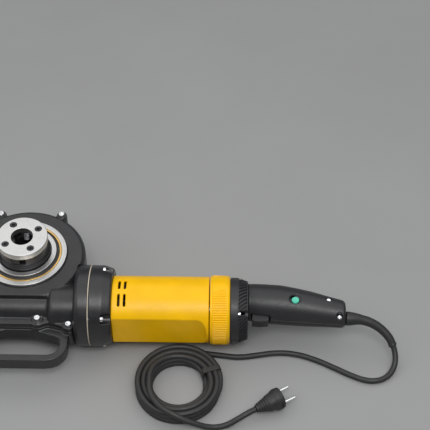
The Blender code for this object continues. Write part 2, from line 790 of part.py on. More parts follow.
def armature():
    profile = (
        (0, 290.0),
        (5.0, 290.0),
        (5.0, 270.0),
        (6.0, 270.0),
        (6.0, 105.0),
        (3.6, 104.0),
        (3.6, 95.0),
        (0, 95.0),
    )
    shaft = turned("armature_shaft", profile, STEEL, (0, MOTOR_Y, 0), ALONG_X, 16)
    teeth, _, module = FIRST_PAIR
    pinion = toothed_wheel("armature_pinion", teeth, module, 95.6, 104.5, 0, MOTOR_Y, STEEL, math.pi / 2)
    to_cutters(pinion)
    join(shaft, pinion)
    ring = ((23.0, 222.0), (23.0, 160.0), (6.3, 160.0), (6.3, 222.0))
    core = turned("armature_core", ring, STEEL, (0, MOTOR_Y, 0), ALONG_X, 24)
    for k in range(12):
        at = (0, MOTOR_Y, 0)
        slot = box(f"winding_slot_{k}", (17, -1.6, 150), (26, 1.6, 230), COPPER, ALONG_X, at, CUTTERS)
        slot.rotation_euler = around_motor_axis(30 * k)
        cut(core, slot)
    ring = ((14.0, 252.0), (14.0, 232.0), (6.3, 232.0), (6.3, 252.0))
    turned("commutator", ring, COPPER, (0, MOTOR_Y, 0), ALONG_X, 20)
    disc = ((34.2, 142.0), (34.2, 139.5), (6.3, 139.5), (6.3, 152.0), (11.0, 152.0), (11.0, 142.0))
    fan = turned("cooling_fan", disc, BLACK, (0, MOTOR_Y, 0), ALONG_X, 24)
    for k in range(9):
        blade = box(f"fan_blade_{k}", (10, -1.0, 141), (33.4, 1.0, 151), BLACK, collection=CUTTERS)
        blade.location = (0, MOTOR_Y * MM, 0)
        blade.rotation_euler = around_motor_axis(40 * k)
        join(fan, blade)


def stator():
    ring = ((42.6, 225.0), (42.6, 157.0), (24.0, 157.0), (24.0, 225.0))
    made = turned("stator", ring, DARK_STEEL, (0, MOTOR_Y, 0), ALONG_X, 28)
    at = (0, MOTOR_Y, 0)
    for sign in (-1, 1):
        low, high = sorted((sign * 20.0, sign * 36.0))
        cut(made, box(f"coil_window_{sign}", (150, -16, low), (230, 16, high), COPPER, (0, 0, 0), at, CUTTERS))
        low, high = sorted((sign * STATOR_FLAT, sign * 50.0))
        cut(made, box(f"stator_flat_{sign}", (150, low, -40), (230, high, 40), STEEL, (0, 0, 0), at, CUTTERS))


def brushes():
    for i, sign in enumerate((-1, 1)):
        low, high = sorted((sign * 14.4, sign * 34.0))
        box(f"carbon_brush_{i + 1}", (237, -3.5, low), (247, 3.5, high), CARBON, pivot=(0, MOTOR_Y, 0))


def arc_slot(radius, depth, start, end, steps=3):
    """The outline of a slot that runs round the motor, from straight up towards the loop."""
    outer = arc((0, 0), radius + 2, start, end, steps)
    inner = arc((0, 0), radius - depth, end, start, steps)
    return outer + inner


def flat_cutter(name, side):
    """What a flat leaves off the motor's round side. It runs out in a curve before the rear end."""
    start = MOTOR_X[0] - 1
    run_out = arc((FLAT_END, MOTOR_FLAT + FLAT_RUN_OUT), FLAT_RUN_OUT, -90, -31, 4)
    outline = [(start, MOTOR_FLAT), *run_out, (run_out[-1][0], MOTOR_R + 3), (start, MOTOR_R + 3)]
    outline = [(x, side * y) for x, y in outline]
    return plate(name, outline, -32, 32, YELLOW, (0, MOTOR_Y, 0), collection=CUTTERS)


def motor_bore():
    """The room inside the motor housing, which follows its flats."""
    low, high = MOTOR_X
    at = (0, MOTOR_Y, 0)
    bore = rod("motor_bore", MOTOR_R - MOTOR_WALL, low - 2, high + 2, YELLOW, at, ALONG_X, 48, CUTTERS)
    inner_flat = MOTOR_FLAT - MOTOR_WALL + 0.2
    for side in (-1, 1):
        near, far = sorted((side * inner_flat, side * 50.0))
        keep = box(f"flat_wall_{side}", (low - 3, near, -40), (263.0, far, 40), YELLOW, (0, 0, 0), at, CUTTERS)
        cut(bore, keep)
    return bore


def motor_housing():
    low, high = MOTOR_X
    profile = ((0, high), (MOTOR_R - 0.8, high), (MOTOR_R, high - 0.8), (MOTOR_R, low), (0, low))
    housing = turned("motor_housing", profile, YELLOW, (0, MOTOR_Y, 0), ALONG_X, 48)
    cut(housing, flat_cutter("flat_front", -1), flat_cutter("flat_back", 1))
    cut(housing, motor_bore())
    for x in (140.3, 148.3):
        for start, end in ((-20.9, 1.5), (11.4, 34.4)):
            for side in (0.0, 180.0):
                # in the turned frame the local X points down and Y stays, so up is 180 degrees
                first = 180.0 + start + side
                outline = arc_slot(MOTOR_R, 8.0, first, first + end - start)
                name = f"vent_{x:.0f}_{start:.0f}_{side:.0f}"
                slot = plate(name, outline, x - 1.65, x + 1.65, YELLOW, (0, MOTOR_Y, 0), ALONG_X, CUTTERS)
                cut(housing, slot)


def direction_ring():
    low, high = DIRECTION_X
    ring = (
        (43.0, high),
        (DIRECTION_R - 3, high),
        (DIRECTION_R, high - 5),
        (DIRECTION_R, low + 1),
        (DIRECTION_R - 1, low),
        (43.0, low),
    )
    turned("direction_ring", ring, YELLOW, (0, MOTOR_Y, 0), ALONG_X, 40)


def rear_cap():
    profile = (
        (12.0, CAP_END),
        (39.5, CAP_END),
        (41.0, CAP_END - 1.5),
        (45.6, 304.0),
        (45.6, 294.4),
        (42.6, 294.4),
        (42.6, 267.0),
        (39.0, 267.0),
        (39.0, 275.0),
        (11.3, 275.0),
        (11.3, 283.0),
        (8.0, 283.0),
        (8.0, 287.0),
        (38.5, 287.0),
        (37.5, 315.0),
        (12.0, 315.0),
    )
    turned("rear_cap", profile, BLACK, (0, MOTOR_Y, 0), ALONG_X, 36)


# Grip


def grip_ring(x, y, radius, count):
    """One cross-section of the grip, as points round its centre line."""
    ring = []
    for i in range(count):
        a = 2 * math.pi * i / count
        ring.append((x, y + radius * math.cos(a), radius * math.sin(a)))
    return ring


def grip_cavity(name, sign):
    """The hollow of the grip, with the bosses for its screws and the trigger's pin left standing."""
    stations = [s for s in GRIP_STATIONS if s[0] < 445]
    rings = []
    for x, y, radius in stations:
        x = x - 2 if x < 320 else x
        rings.append(grip_ring(x, y, radius - GRIP_WALL, 14))
    hollow = loft(name, rings, BLACK, CUTTERS)
    x, y, _ = GRIP_SCREWS[0]
    cut(hollow, rod(f"{name}_boss", 5.0, -30, 30, BLACK, (x, y, 0), segments=8, collection=CUTTERS))
    low, high = sorted((sign * 7.6, sign * 30.0))
    x, y = TRIGGER_PIVOT
    cut(hollow, rod(f"{name}_pin_boss", 4.0, low, high, BLACK, (x, y, 0), segments=8, collection=CUTTERS))
    return hollow


def grip_half(name, sign):
    shell = loft(name, [grip_ring(x, y, radius, 20) for x, y, radius in GRIP_STATIONS], BLACK)
    cut(shell, grip_cavity(f"{name}_cavity", sign))
    low, high = sorted((-sign * 40.0, sign * GAP / 2))
    cut(shell, box(f"{name}_split", (300, -110, low), (480, 0, high), BLACK, collection=CUTTERS))
    cut(shell, box(f"{name}_trigger_slot", (324, -110, -7.3), (350.5, -70, 7.3), BLACK, collection=CUTTERS))
    x, y = TRIGGER_PIVOT
    cut(shell, rod(f"{name}_pin_hole", 1.8, -11.5, 11.5, BLACK, (x, y, 0), segments=8, collection=CUTTERS))
    for i, (x, y, top) in enumerate(GRIP_SCREWS):
        hole = rod(f"{name}_screw_hole_{i}", 1.9, -12, 30, BLACK, (x, y, 0), segments=8, collection=CUTTERS)
        cut(shell, hole)
        if sign > 0:
            low = top - 3.2
            at = (x, y, 0)
            recess = rod(f"{name}_recess_{i}", 3.9, low, 40, BLACK, at, segments=12, collection=CUTTERS)
            cut(shell, recess)
    if sign > 0:
        at = (*BUTTON_AT, 0)
        cut(shell, rod("button_hole", 5.6, 5, 40, BLACK, at, segments=16, collection=CUTTERS))
        cut(shell, rod("button_recess", 9.0, 24.0, 40, BLACK, at, segments=20, collection=CUTTERS))
    return shell


def grip_screws():
    for i, (x, y, top) in enumerate(GRIP_SCREWS):
        at = (x, y, top - 3.2)
        cap_screw(f"grip_screw_{i + 1}", top + 4, at, head_r=3.3, head=2.4, shank_r=1.5, segments=8)


def trigger():
    px, py = TRIGGER_PIVOT
    outline = (
        (325.5, -80.0),
        (325.3, -91.5),
        (327.0, -93.4),
        (335.0, -94.4),
        (345.5, -93.2),
        (347.8, -91.0),
        (348.5, -81.5),
        (355.0, -80.5),
        (355.5, -77.5),
        (353.5, -75.5),
        (340.0, -75.5),
        (328.0, -77.0),
    )
    local = [(x - px, y - py) for x, y in outline]
    made = plate("trigger", local, -6.6, 6.6, BLACK, (px, py, 0))
    cut(made, rod("trigger_pin_bore", 1.9, -8, 8, BLACK, (px, py, 0), segments=8, collection=CUTTERS))
    rod("trigger_pin", 1.5, -11.2, 11.2, ZINC, (px, py, 0), segments=8)


def trigger_spring():
    turns = 3
    steps = 8
    length = 8.6
    points = []
    for i in range(turns * steps + 1):
        a = 2 * math.pi * i / steps
        y = -74.6 + (length - 1.8) * i / (turns * steps)
        points.append((333.0 + 2.6 * math.cos(a), y, 2.6 * math.sin(a)))
    tube("trigger_spring", points, [0.4] * len(points), ZINC, 1)


def switch_block():
    box("switch_block", (326, -66.6, -10), (374, -50, 10), BLACK)


def safety_button():
    profile = ((0, 26.0), (4.6, 26.0), (5.2, 25.4), (5.2, 18.0), (7.4, 18.0), (7.4, 16.0), (0, 16.0))
    turned("safety_button", profile, TEAL, (*BUTTON_AT, 0), (0, 0, 0), 16)


# Cord


def mains_cord():
    relief = smooth_route(RELIEF_ROUTE, 6.0)
    radii = [9.2 - 4.0 * i / (len(relief) - 1) for i in range(len(relief))]
    tube("strain_relief", relief, radii, RUBBER, 3)
    route = smooth_route(CORD_ROUTE, 9.0)
    tube("mains_cord", route, [CORD_R] * len(route), RUBBER)
    inner, outer = COIL_R
    ring = (
        (inner + 7, COIL_TOP),
        (outer - 7, COIL_TOP),
        (outer, COIL_TOP - 7),
        (outer, FLOOR + 7),
        (outer - 7, FLOOR),
        (inner + 7, FLOOR),
        (inner, FLOOR + 7),
        (inner, COIL_TOP - 7),
    )
    turned("cord_coil", ring, RUBBER, (*COIL_AT, 0), segments=28)
    tail = smooth_route(TAIL_ROUTE, 9.0)
    tube("cord_tail", tail, [CORD_R] * len(tail), RUBBER)


def mains_plug():
    """A two-pin plug whose cord end looks back along the cord."""
    x, y, _ = TAIL_ROUTE[-1]
    turn = (0, math.pi / 2, math.radians(PLUG_TURN))
    profile = (
        (0, 40.0),
        (PLUG_R - 1, 40.0),
        (PLUG_R, 38.0),
        (PLUG_R, 32.0),
        (12.5, 27.0),
        (11.5, 18.0),
        (7.0, 12.0),
        (5.2, 1.0),
        (0, 1.0),
    )
    at = (x, y, FLOOR + PLUG_R + 0.1)
    plug = turned("mains_plug", profile, RUBBER, at, turn, 16)
    for sign in (-1, 1):
        pin = rod(f"plug_pin_{sign}", 2.4, 38, 58, ZINC, segments=8, collection=CUTTERS)
        pin.data.transform(Matrix.Translation((0.0, sign * 9.5 * MM, 0.0)))
        pin.location = Vector(at) * MM
        pin.rotation_euler = turn
        join(plug, pin)


housing_base()
housing_cover()
housing_screws()
ring_gear()
bush("ring_bush_upper", 12.0, 30.4)
bush("ring_bush_lower", -44.0, -15.0)
retaining_ring()
adapter_ring()
die_head_body()
die_head_cover()
chasers()
worm_shaft()
bearing("worm_bearing_left", -41.0, 10.0, 6.0, 12.7)
bearing("worm_bearing_right", 62.3, 8.0, 6.0, 14.0)
gear_train()
gearbox_case()
gearbox_gasket()
motor_flange()
armature()
stator()
brushes()
bearing("armature_bearing_front", 116.2, 8.0, 6.0, 12.7)
bearing("armature_bearing_rear", 279.2, 8.0, 5.0, 11.0)
motor_housing()
direction_ring()
rear_cap()
grip_half("grip_upper", 1)
grip_half("grip_lower", -1)
grip_screws()
trigger()
trigger_spring()
switch_block()
safety_button()
mains_cord()
mains_plug()
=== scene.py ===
"""The looks of the pipe threading machine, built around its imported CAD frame.

Lengths are millimetres and MM turns them into metres. Places are measured from the middle of the
drive ring, as in the CAD source: X runs along the motor, Y away from the carrying loop, Z up along
the ring's axis. RING is where that point lies in the frame.
"""

import json
import math

import bmesh
import bpy
from mathutils import Matrix, Vector

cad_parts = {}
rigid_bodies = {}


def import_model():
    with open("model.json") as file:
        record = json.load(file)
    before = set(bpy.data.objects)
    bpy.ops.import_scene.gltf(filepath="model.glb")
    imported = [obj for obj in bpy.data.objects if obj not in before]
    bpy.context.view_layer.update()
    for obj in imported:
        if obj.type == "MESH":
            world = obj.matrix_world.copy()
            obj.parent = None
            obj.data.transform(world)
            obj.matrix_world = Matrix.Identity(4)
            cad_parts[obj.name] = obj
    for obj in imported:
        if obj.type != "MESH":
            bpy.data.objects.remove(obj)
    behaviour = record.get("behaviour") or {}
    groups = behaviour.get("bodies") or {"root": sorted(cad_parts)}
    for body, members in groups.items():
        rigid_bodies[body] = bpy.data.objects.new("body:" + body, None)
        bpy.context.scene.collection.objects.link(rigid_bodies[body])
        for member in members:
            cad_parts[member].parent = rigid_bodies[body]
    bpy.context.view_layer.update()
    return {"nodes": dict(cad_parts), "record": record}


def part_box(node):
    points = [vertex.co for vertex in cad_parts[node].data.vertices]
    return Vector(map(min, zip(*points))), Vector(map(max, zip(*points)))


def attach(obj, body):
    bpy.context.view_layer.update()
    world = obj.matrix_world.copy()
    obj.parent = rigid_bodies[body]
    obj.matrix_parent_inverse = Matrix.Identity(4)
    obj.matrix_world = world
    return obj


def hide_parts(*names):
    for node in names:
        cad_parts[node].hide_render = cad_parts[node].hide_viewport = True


for old in list(bpy.data.objects):
    bpy.data.objects.remove(old)

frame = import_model()

MM = 0.001
WELD = 2e-6  # metres
GAP = 0.15  # half of the gap where the two halves of a shell meet

disc_low, disc_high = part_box("die_head_cover")
RING = Vector(((disc_low[0] + disc_high[0]) / 2, (disc_low[1] + disc_high[1]) / 2, disc_high[2] - 72 * MM))

UPRIGHT = Matrix.Identity(4)
ALONG_X = Matrix(((0, 0, 1, 0), (0, 1, 0, 0), (-1, 0, 0, 0), (0, 0, 0, 1)))  # local z on X, local x down

# Gear housing and ring
HOUSING_R = 86.0
COVER_TOP = 33.0
FLOOR = -54.0
SOCKET_APOTHEM = 46.1
ADAPTER_APOTHEM = 45.7
DIE_APOTHEM = 34.0
DIE_TOP = 72.0
DIE_SCREW_R = 26.0
DIE_SCREW_ANGLE = 34.0
CHASER_ANGLE = 79.0

# Drive
MOTOR_Y = -70.0
MOTOR_R = 46.5
MOTOR_WALL = 3.6
MOTOR_FLAT = 38.5
FLAT_END = 248.0
FLAT_RUN_OUT = 17.1
TUNNEL_R = 25.5
NECK_R = 34.0
NECK_END = 77.7
COLLAR_Y = -65.0
COLLAR_R = 57.2
COLLAR_SCREW_R = 53.5
COLLAR_SCREW_ANGLES = (58.0, 128.0, -30.0, -128.0)
GEAR_ROOM_Y = -58.0
GEAR_ROOM_R = 44.5
LAYSHAFT_Y = -40.0

# Grip
GRIP_STATIONS = (  # x, middle's y, radius
    (319.3, -55.7, 26.2),
    (333.0, -57.0, 27.2),
    (350.0, -58.6, 27.8),
    (366.0, -60.0, 27.8),
    (386.0, -62.8, 26.6),
    (407.0, -66.0, 24.8),
    (425.0, -69.3, 22.6),
    (442.0, -72.5, 20.6),
    (452.0, -74.2, 19.4),
    (455.5, -74.5, 16.5),
)
GRIP_WALL = 3.0
TRIGGER_PIVOT = (352.0, -78.5)
BUTTON_AT = (385.0, -70.0)
GRIP_SCREWS = ((432.0, -64.0, 18.6), (446.5, -88.0, 12.4))

# Cord
CORD_R = 4.0
COIL_AT = (224.0, -166.0)
RELIEF_ROUTE = (
    (456.6, -82.0, 0.0),
    (475.0, -82.4, -1.2),
    (491.5, -84.6, -5.5),
    (506.0, -90.0, -12.5),
    (517.5, -98.5, -21.0),
    (523.7, -106.7, -29.6),
)
CORD_ROUTE = (
    (526.7, -116.8, -38.0),
    (525.5, -128.3, -44.6),
    (519.4, -139.6, -48.5),
    (509.1, -148.1, -49.9),
    (496.3, -152.0, -49.9),
    (482.9, -150.8, -49.9),
    (468.0, -145.2, -49.9),
    (441.0, -131.0, -49.9),
    (414.0, -117.5, -49.9),
    (388.0, -109.0, -49.9),
    (362.0, -107.0, -49.9),
    (335.0, -111.0, -49.9),
    (308.0, -115.0, -49.9),
    (280.0, -112.3, -49.9),
    (257.0, -109.6, -49.9),
    (240.0, -109.2, -49.9),
)
TAIL_ROUTE = (  # from the top turn, out across the others, down to the floor and to the plug
    (184.6, -176.6, -26.0),
    (187.0, -191.9, -25.7),
    (195.0, -207.4, -25.7),
    (207.6, -219.6, -25.8),
    (221.9, -227.3, -27.5),
    (236.7, -231.4, -33.5),
    (251.0, -232.8, -40.0),
    (265.0, -232.5, -46.5),
    (279.0, -230.8, -49.7),
    (293.0, -227.3, -48.0),
    (307.0, -221.5, -42.8),
    (320.0, -214.8, -39.0),
    (330.0, -209.0, -38.6),
)
COIL_TURNS = (56.0, 47.8, 39.6)  # the turns of one layer
COIL_START = 90.0
EASING = 0.4  # the share of a turn in which it eases over to the next one
PLUG_TURN = 30.0
PLUG_R = 15.4


# Camera


def look_at(obj, place, target):
    obj.location = place
    obj.rotation_euler = (target - place).to_track_quat("-Z", "Y").to_euler()


def add_camera():
    data = bpy.data.cameras.new("camera")
    data.sensor_width = 36.0
    data.lens = 100.47
    data.clip_start = 0.05
    camera = bpy.data.objects.new("camera", data)
    bpy.context.scene.collection.objects.link(camera)
    look_at(camera, RING + Vector((290.65, -1107.0, 1341.8)) * MM, RING + Vector((269.84, 110.51, 0.0)) * MM)
    bpy.context.scene.camera = camera


add_camera()


# Meshes


def machine(turn=UPRIGHT, at=(0, 0, 0)):
    """The matrix that takes a shape's own millimetres to the machine's metres."""
    return Matrix.Translation(RING + Vector(at) * MM) @ turn @ Matrix.Scale(MM, 4)


def add_object(name, data):
    obj = bpy.data.objects.new(name, data)
    bpy.context.scene.collection.objects.link(obj)
    return obj


def new_mesh(name, verts, faces, turn=UPRIGHT, at=(0, 0, 0)):
    mesh = bpy.data.meshes.new(name)
    mesh.from_pydata(verts, [], faces)
    mesh.transform(machine(turn, at))
    bm = bmesh.new()
    bm.from_mesh(mesh)
    bmesh.ops.recalc_face_normals(bm, faces=bm.faces)
    bm.to_mesh(mesh)
    bm.free()
    return add_object(name, mesh)


def eased(points, radius, closed=True, steps=4):
    """The same outline with its corners rounded. A third number in a point is its own radius."""
    flat = [Vector(p[:2]) for p in points]
    made = []
    for i, here in enumerate(flat):
        reach_for = points[i][2] if len(points[i]) > 2 else radius
        if reach_for <= 0 or (not closed and i in (0, len(flat) - 1)):
            made.append(here)
            continue
        back = flat[i - 1] - here
        ahead = flat[(i + 1) % len(flat)] - here
        half = back.angle(ahead) / 2
        if half > math.radians(84):
            made.append(here)
            continue
        reach = min(reach_for / math.tan(half), back.length * 0.48, ahead.length * 0.48)
        start = here + back.normalized() * reach
        end = here + ahead.normalized() * reach
        for k in range(steps + 1):
            t = k / steps
            made.append((1 - t) ** 2 * start + 2 * t * (1 - t) * here + t * t * end)
    return made


def turned(name, profile, segments=120, turn=UPRIGHT, at=(0, 0, 0), ease=0.0):
    """A turned shape. The profile is (radius, height) down the outer side, and may end on the axis."""
    closed = profile[0][0] > 0
    profile = eased(profile, ease, closed) if ease or any(len(p) > 2 for p in profile) else profile
    verts, rows = [], []
    for r, h in profile:
        if r < 0.0001:
            rows.append([len(verts)] * segments)
            verts.append((0, 0, h))
            continue
        rows.append(range(len(verts), len(verts) + segments))
        for i in range(segments):
            a = 2 * math.pi * i / segments
            verts.append((r * math.cos(a), r * math.sin(a), h))
    faces = []
    for low, high in zip(rows, rows[1:] + (rows[:1] if closed else [])):
        for i in range(segments):
            j = (i + 1) % segments
            corner = list(dict.fromkeys((low[i], high[i], high[j], low[j])))
            if len(corner) > 2:
                faces.append(corner)
    return new_mesh(name, verts, faces, turn, at)


def rod(name, radius, low, high, segments=64, turn=UPRIGHT, at=(0, 0, 0), ease=0.0):
    return turned(name, [(0, high), (radius, high, ease), (radius, low, ease), (0, low)], segments, turn, at)


def plate(name, outline, low, high, turn=UPRIGHT, at=(0, 0, 0), ease=0.0):
    """A flat outline, as thick as low to high. ease rounds the outline's corners."""
    if ease or any(len(p) > 2 for p in outline):
        outline = eased(outline, ease)
    count = len(outline)
    verts = [(p[0], p[1], z) for z in (low, high) for p in outline]
    faces = [list(range(count))[::-1], list(range(count, 2 * count))]
    faces += [(i, (i + 1) % count, count + (i + 1) % count, count + i) for i in range(count)]
    return new_mesh(name, verts, faces, turn, at)


def box(name, low, high, turn=UPRIGHT, at=(0, 0, 0)):
    outline = ((low[0], low[1]), (high[0], low[1]), (high[0], high[1]), (low[0], high[1]))
    return plate(name, outline, low[2], high[2], turn, at)


def loft(name, rings, turn=UPRIGHT, at=(0, 0, 0)):
    """A skin over rings of equally many points, closed at both ends."""
    count = len(rings[0])
    verts = [p for ring in rings for p in ring]
    faces = [list(range(count))[::-1], list(range(len(verts) - count, len(verts)))]
    for row in range(len(rings) - 1):
        for i in range(count):
            j = (i + 1) % count
            faces.append((row * count + i, row * count + j, (row + 1) * count + j, (row + 1) * count + i))
    return new_mesh(name, verts, faces, turn, at)


def arc(middle, radius, start, end, steps):
    """Points on an arc, with its angles in degrees."""
    angles = (math.radians(start + (end - start) * i / steps) for i in range(steps + 1))
    return [(middle[0] + radius * math.cos(a), middle[1] + radius * math.sin(a)) for a in angles]


def fade(value, start, end):
    """0 before start, 1 after end, and smooth between them."""
    t = min(max((value - start) / (end - start), 0.0), 1.0)
    return t * t * (3 - 2 * t)


def on_circle(middle, radius, angle):
    return arc(middle, radius, angle, angle, 1)[0]


def octagon(apothem, ease=1.2):
    corner = apothem / math.cos(math.radians(22.5))
    return eased(arc((0, 0), corner, 22.5, 337.5, 7), ease)


def collar_screw_at(angle):
    """Where a collar screw stands, its angle being from straight up towards the loop."""
    a = math.radians(angle)
    return (COLLAR_Y - COLLAR_SCREW_R * math.sin(a), COLLAR_SCREW_R * math.cos(a))


def bake(obj):
    """Turns what an object's modifiers make into its mesh."""
    shape = obj.evaluated_get(bpy.context.evaluated_depsgraph_get())
    mesh = bpy.data.meshes.new_from_object(shape)
    obj.modifiers.clear()
    obj.data = mesh
    return obj


def weld(obj):
    """Merges the doubled points a Boolean can leave, as an open shell can't be remeshed."""
    mesh = bmesh.new()
    mesh.from_mesh(obj.data)
    bmesh.ops.remove_doubles(mesh, verts=mesh.verts, dist=WELD)
    bmesh.ops.dissolve_degenerate(mesh, edges=mesh.edges, dist=WELD)
    mesh.to_mesh(obj.data)
    mesh.free()


def combine(obj, operation, others):
    for other in others:
        step = obj.modifiers.new(other.name, "BOOLEAN")
        step.operation = operation
        step.solver = "EXACT"
        step.object = other
        bake(obj)
        weld(obj)
    for other in others:
        bpy.data.objects.remove(other)
    return obj


def cut(obj, *others):
    return combine(obj, "DIFFERENCE", others)


def join(obj, *others):
    return combine(obj, "UNION", others)


def soften(obj, voxel, rounds):
    """Gives a shell the small round edges and fillets of a casting or a moulding."""
    step = obj.modifiers.new("even", "REMESH")
    step.mode = "VOXEL"
    step.voxel_size = voxel * MM
    step = obj.modifiers.new("round", "SMOOTH")
    step.factor = 0.5
    step.iterations = rounds
    return bake(obj)


def round_edges(obj, width, segments=2, angle=40):
    step = obj.modifiers.new("edges", "BEVEL")
    step.width = width * MM
    step.segments = segments
    step.limit_method = "ANGLE"
    step.angle_limit = math.radians(angle)
    return bake(obj)


# Materials


class Graph:
    """A material's node tree, with short names for the nodes that the finishes share."""

    def __init__(self, name, colour, roughness, metallic):
        self.material = bpy.data.materials.new("finish_" + name)
        self.material.use_nodes = True
        self.nodes = self.material.node_tree.nodes
        self.links = self.material.node_tree.links
        self.shader = self.nodes["Principled BSDF"]
        self.shader.inputs["Metallic"].default_value = metallic
        self.shader.inputs["Roughness"].default_value = roughness
        self.shader.inputs["Base Color"].default_value = (*colour, 1)
        self.material.diffuse_color = (*colour, 1)
        self.place = self.nodes.new("ShaderNodeTexCoord").outputs["Object"]

    def noise(self, scale, detail=4.0, place=None, roughness=0.55):
        node = self.nodes.new("ShaderNodeTexNoise")
        node.inputs["Scale"].default_value = scale
        node.inputs["Detail"].default_value = detail
        node.inputs["Roughness"].default_value = roughness
        self.links.new(place or self.place, node.inputs["Vector"])
        return node.outputs["Fac"]

    def cells(self, scale):
        node = self.nodes.new("ShaderNodeTexVoronoi")
        node.inputs["Scale"].default_value = scale
        self.links.new(self.place, node.inputs["Vector"])
        return node.outputs["Distance"]

    def ranged(self, value, low, high, start=0.3, end=0.7):
        node = self.nodes.new("ShaderNodeMapRange")
        for name, number in (("From Min", start), ("From Max", end), ("To Min", low), ("To Max", high)):
            node.inputs[name].default_value = number
        self.links.new(value, node.inputs["Value"])
        return node.outputs["Result"]

    def mixed(self, factor, first, second):
        node = self.nodes.new("ShaderNodeMix")
        node.data_type = "RGBA"
        self.links.new(factor, node.inputs["Factor"])
        for value, socket in ((first, node.inputs[6]), (second, node.inputs[7])):
            if isinstance(value, tuple):
                socket.default_value = (*value, 1)
            else:
                self.links.new(value, socket)
        return node.outputs[2]

    def stretched(self, scale):
        """The place with each axis scaled on its own, for grooves and brush marks."""
        node = self.nodes.new("ShaderNodeMapping")
        node.inputs["Scale"].default_value = scale
        self.links.new(self.place, node.inputs["Vector"])
        return node.outputs["Vector"]

    def round_axis(self, axis, centre):
        """The distance from an axis of the machine, and so the grooves of a lathe."""
        away = self.nodes.new("ShaderNodeVectorMath")
        away.operation = "SUBTRACT"
        away.inputs[1].default_value = centre
        self.links.new(self.place, away.inputs[0])
        flat = self.nodes.new("ShaderNodeVectorMath")
        flat.operation = "MULTIPLY"
        flat.inputs[1].default_value = (0, 1, 1) if axis == "X" else (1, 1, 0)
        self.links.new(away.outputs[0], flat.inputs[0])
        length = self.nodes.new("ShaderNodeVectorMath")
        length.operation = "LENGTH"
        self.links.new(flat.outputs[0], length.inputs[0])
        join_up = self.nodes.new("ShaderNodeCombineXYZ")
        self.links.new(length.outputs["Value"], join_up.inputs[0])
        split = self.nodes.new("ShaderNodeSeparateXYZ")
        self.links.new(away.outputs[0], split.inputs[0])
        self.links.new(split.outputs["X" if axis == "X" else "Z"], join_up.inputs[1])
        return join_up.outputs[0]

    def edges(self, start, end):
        """More where the surface is an outer edge."""
        node = self.nodes.new("ShaderNodeNewGeometry")
        return self.ranged(node.outputs["Pointiness"], 0.0, 1.0, start, end)

    def bump(self, height, depth, strength=1.0, under=None):
        node = self.nodes.new("ShaderNodeBump")
        node.inputs["Strength"].default_value = strength
        node.inputs["Distance"].default_value = depth * MM
        self.links.new(height, node.inputs["Height"])
        if under:
            self.links.new(under, node.inputs["Normal"])
        return node.outputs["Normal"]

    def set(self, name, value):
        if isinstance(value, (int, float)):
            self.shader.inputs[name].default_value = value
        else:
            self.links.new(value, self.shader.inputs[name])


def shade(colour, factor):
    return tuple(min(1.0, c * factor) for c in colour)


def painted_casting():
    colour = (0.020, 0.020, 0.0215)
    g = Graph("black_casting", colour, 0.36, 0.0)
    tone = g.ranged(g.noise(45, 5), 0.0, 1.0)
    base = g.mixed(tone, shade(colour, 0.82), shade(colour, 1.22))
    g.set("Base Color", g.mixed(g.edges(0.53, 0.62), base, (0.05, 0.05, 0.052)))
    g.set("Roughness", g.ranged(g.noise(160, 4), 0.30, 0.43))
    g.set("Coat Weight", 0.12)
    g.set("Coat Roughness", 0.22)
    sand = g.bump(g.noise(900, 3), 0.05)
    g.set("Normal", g.bump(g.noise(170, 2), 0.14, 0.6, sand))
    return g.material


def moulded(name, colour, roughness, spread, grain, depth, coat=0.0, worn=None, gloss=0.5):
    """Moulded plastic: a fine eroded grain, a slow change of tone and a little gloss on its edges."""
    g = Graph(name, colour, roughness, 0.0)
    tone = g.ranged(g.noise(30, 4), 0.0, 1.0)
    base = g.mixed(tone, shade(colour, 0.93), shade(colour, 1.06))
    if worn:
        base = g.mixed(g.edges(0.54, 0.64), base, worn)
    g.set("Base Color", base)
    g.set("Roughness", g.ranged(g.noise(220, 5), roughness - spread, roughness + spread))
    g.set("Specular IOR Level", gloss)
    g.set("Coat Weight", coat)
    g.set("Coat Roughness", 0.2)
    wave = g.bump(g.noise(60, 2), 0.10, 0.5)
    g.set("Normal", g.bump(g.noise(grain, 3), depth, 1.0, wave))
    return g.material


def turned_metal(name, colour, roughness, axis, centre, metallic=1.0, pitch=2600.0, depth=0.012):
    """Metal off a lathe: fine grooves round its axis, with tone and gloss that follow them."""
    g = Graph(name, colour, roughness, metallic)
    grooves = g.noise(pitch, 2, g.round_axis(axis, centre))
    wide = g.noise(pitch / 9, 3, g.round_axis(axis, centre))
    tone = g.mixed(g.ranged(wide, 0.0, 1.0), shade(colour, 0.86), shade(colour, 1.08))
    stain = g.ranged(g.noise(70, 5), 0.0, 0.35, 0.5, 0.75)
    g.set("Base Color", g.mixed(stain, tone, shade(colour, 0.72)))
    g.set("Roughness", g.ranged(grooves, roughness - 0.06, roughness + 0.09))
    g.set("Normal", g.bump(grooves, depth, 0.9, g.bump(wide, depth * 2, 0.6)))
    return g.material


def ground_metal(name, colour, roughness, metallic=1.0, grain=1100.0, depth=0.01, spots=(0.0, 0.3)):
    """Ground, plated or blackened metal: a fine speckle and small darker clouds."""
    g = Graph(name, colour, roughness, metallic)
    speckle = g.noise(grain, 5, roughness=0.7)
    tone = g.mixed(g.ranged(speckle, 0.0, 1.0), shade(colour, 0.84), shade(colour, 1.10))
    cloud = g.ranged(g.noise(55, 5), *spots, 0.48, 0.72)
    g.set("Base Color", g.mixed(cloud, tone, shade(colour, 0.72)))
    g.set("Roughness", g.ranged(speckle, roughness - 0.07, roughness + 0.09))
    g.set("Normal", g.bump(speckle, depth, 0.8, g.bump(g.cells(grain / 3), depth * 1.5, 0.25)))
    return g.material


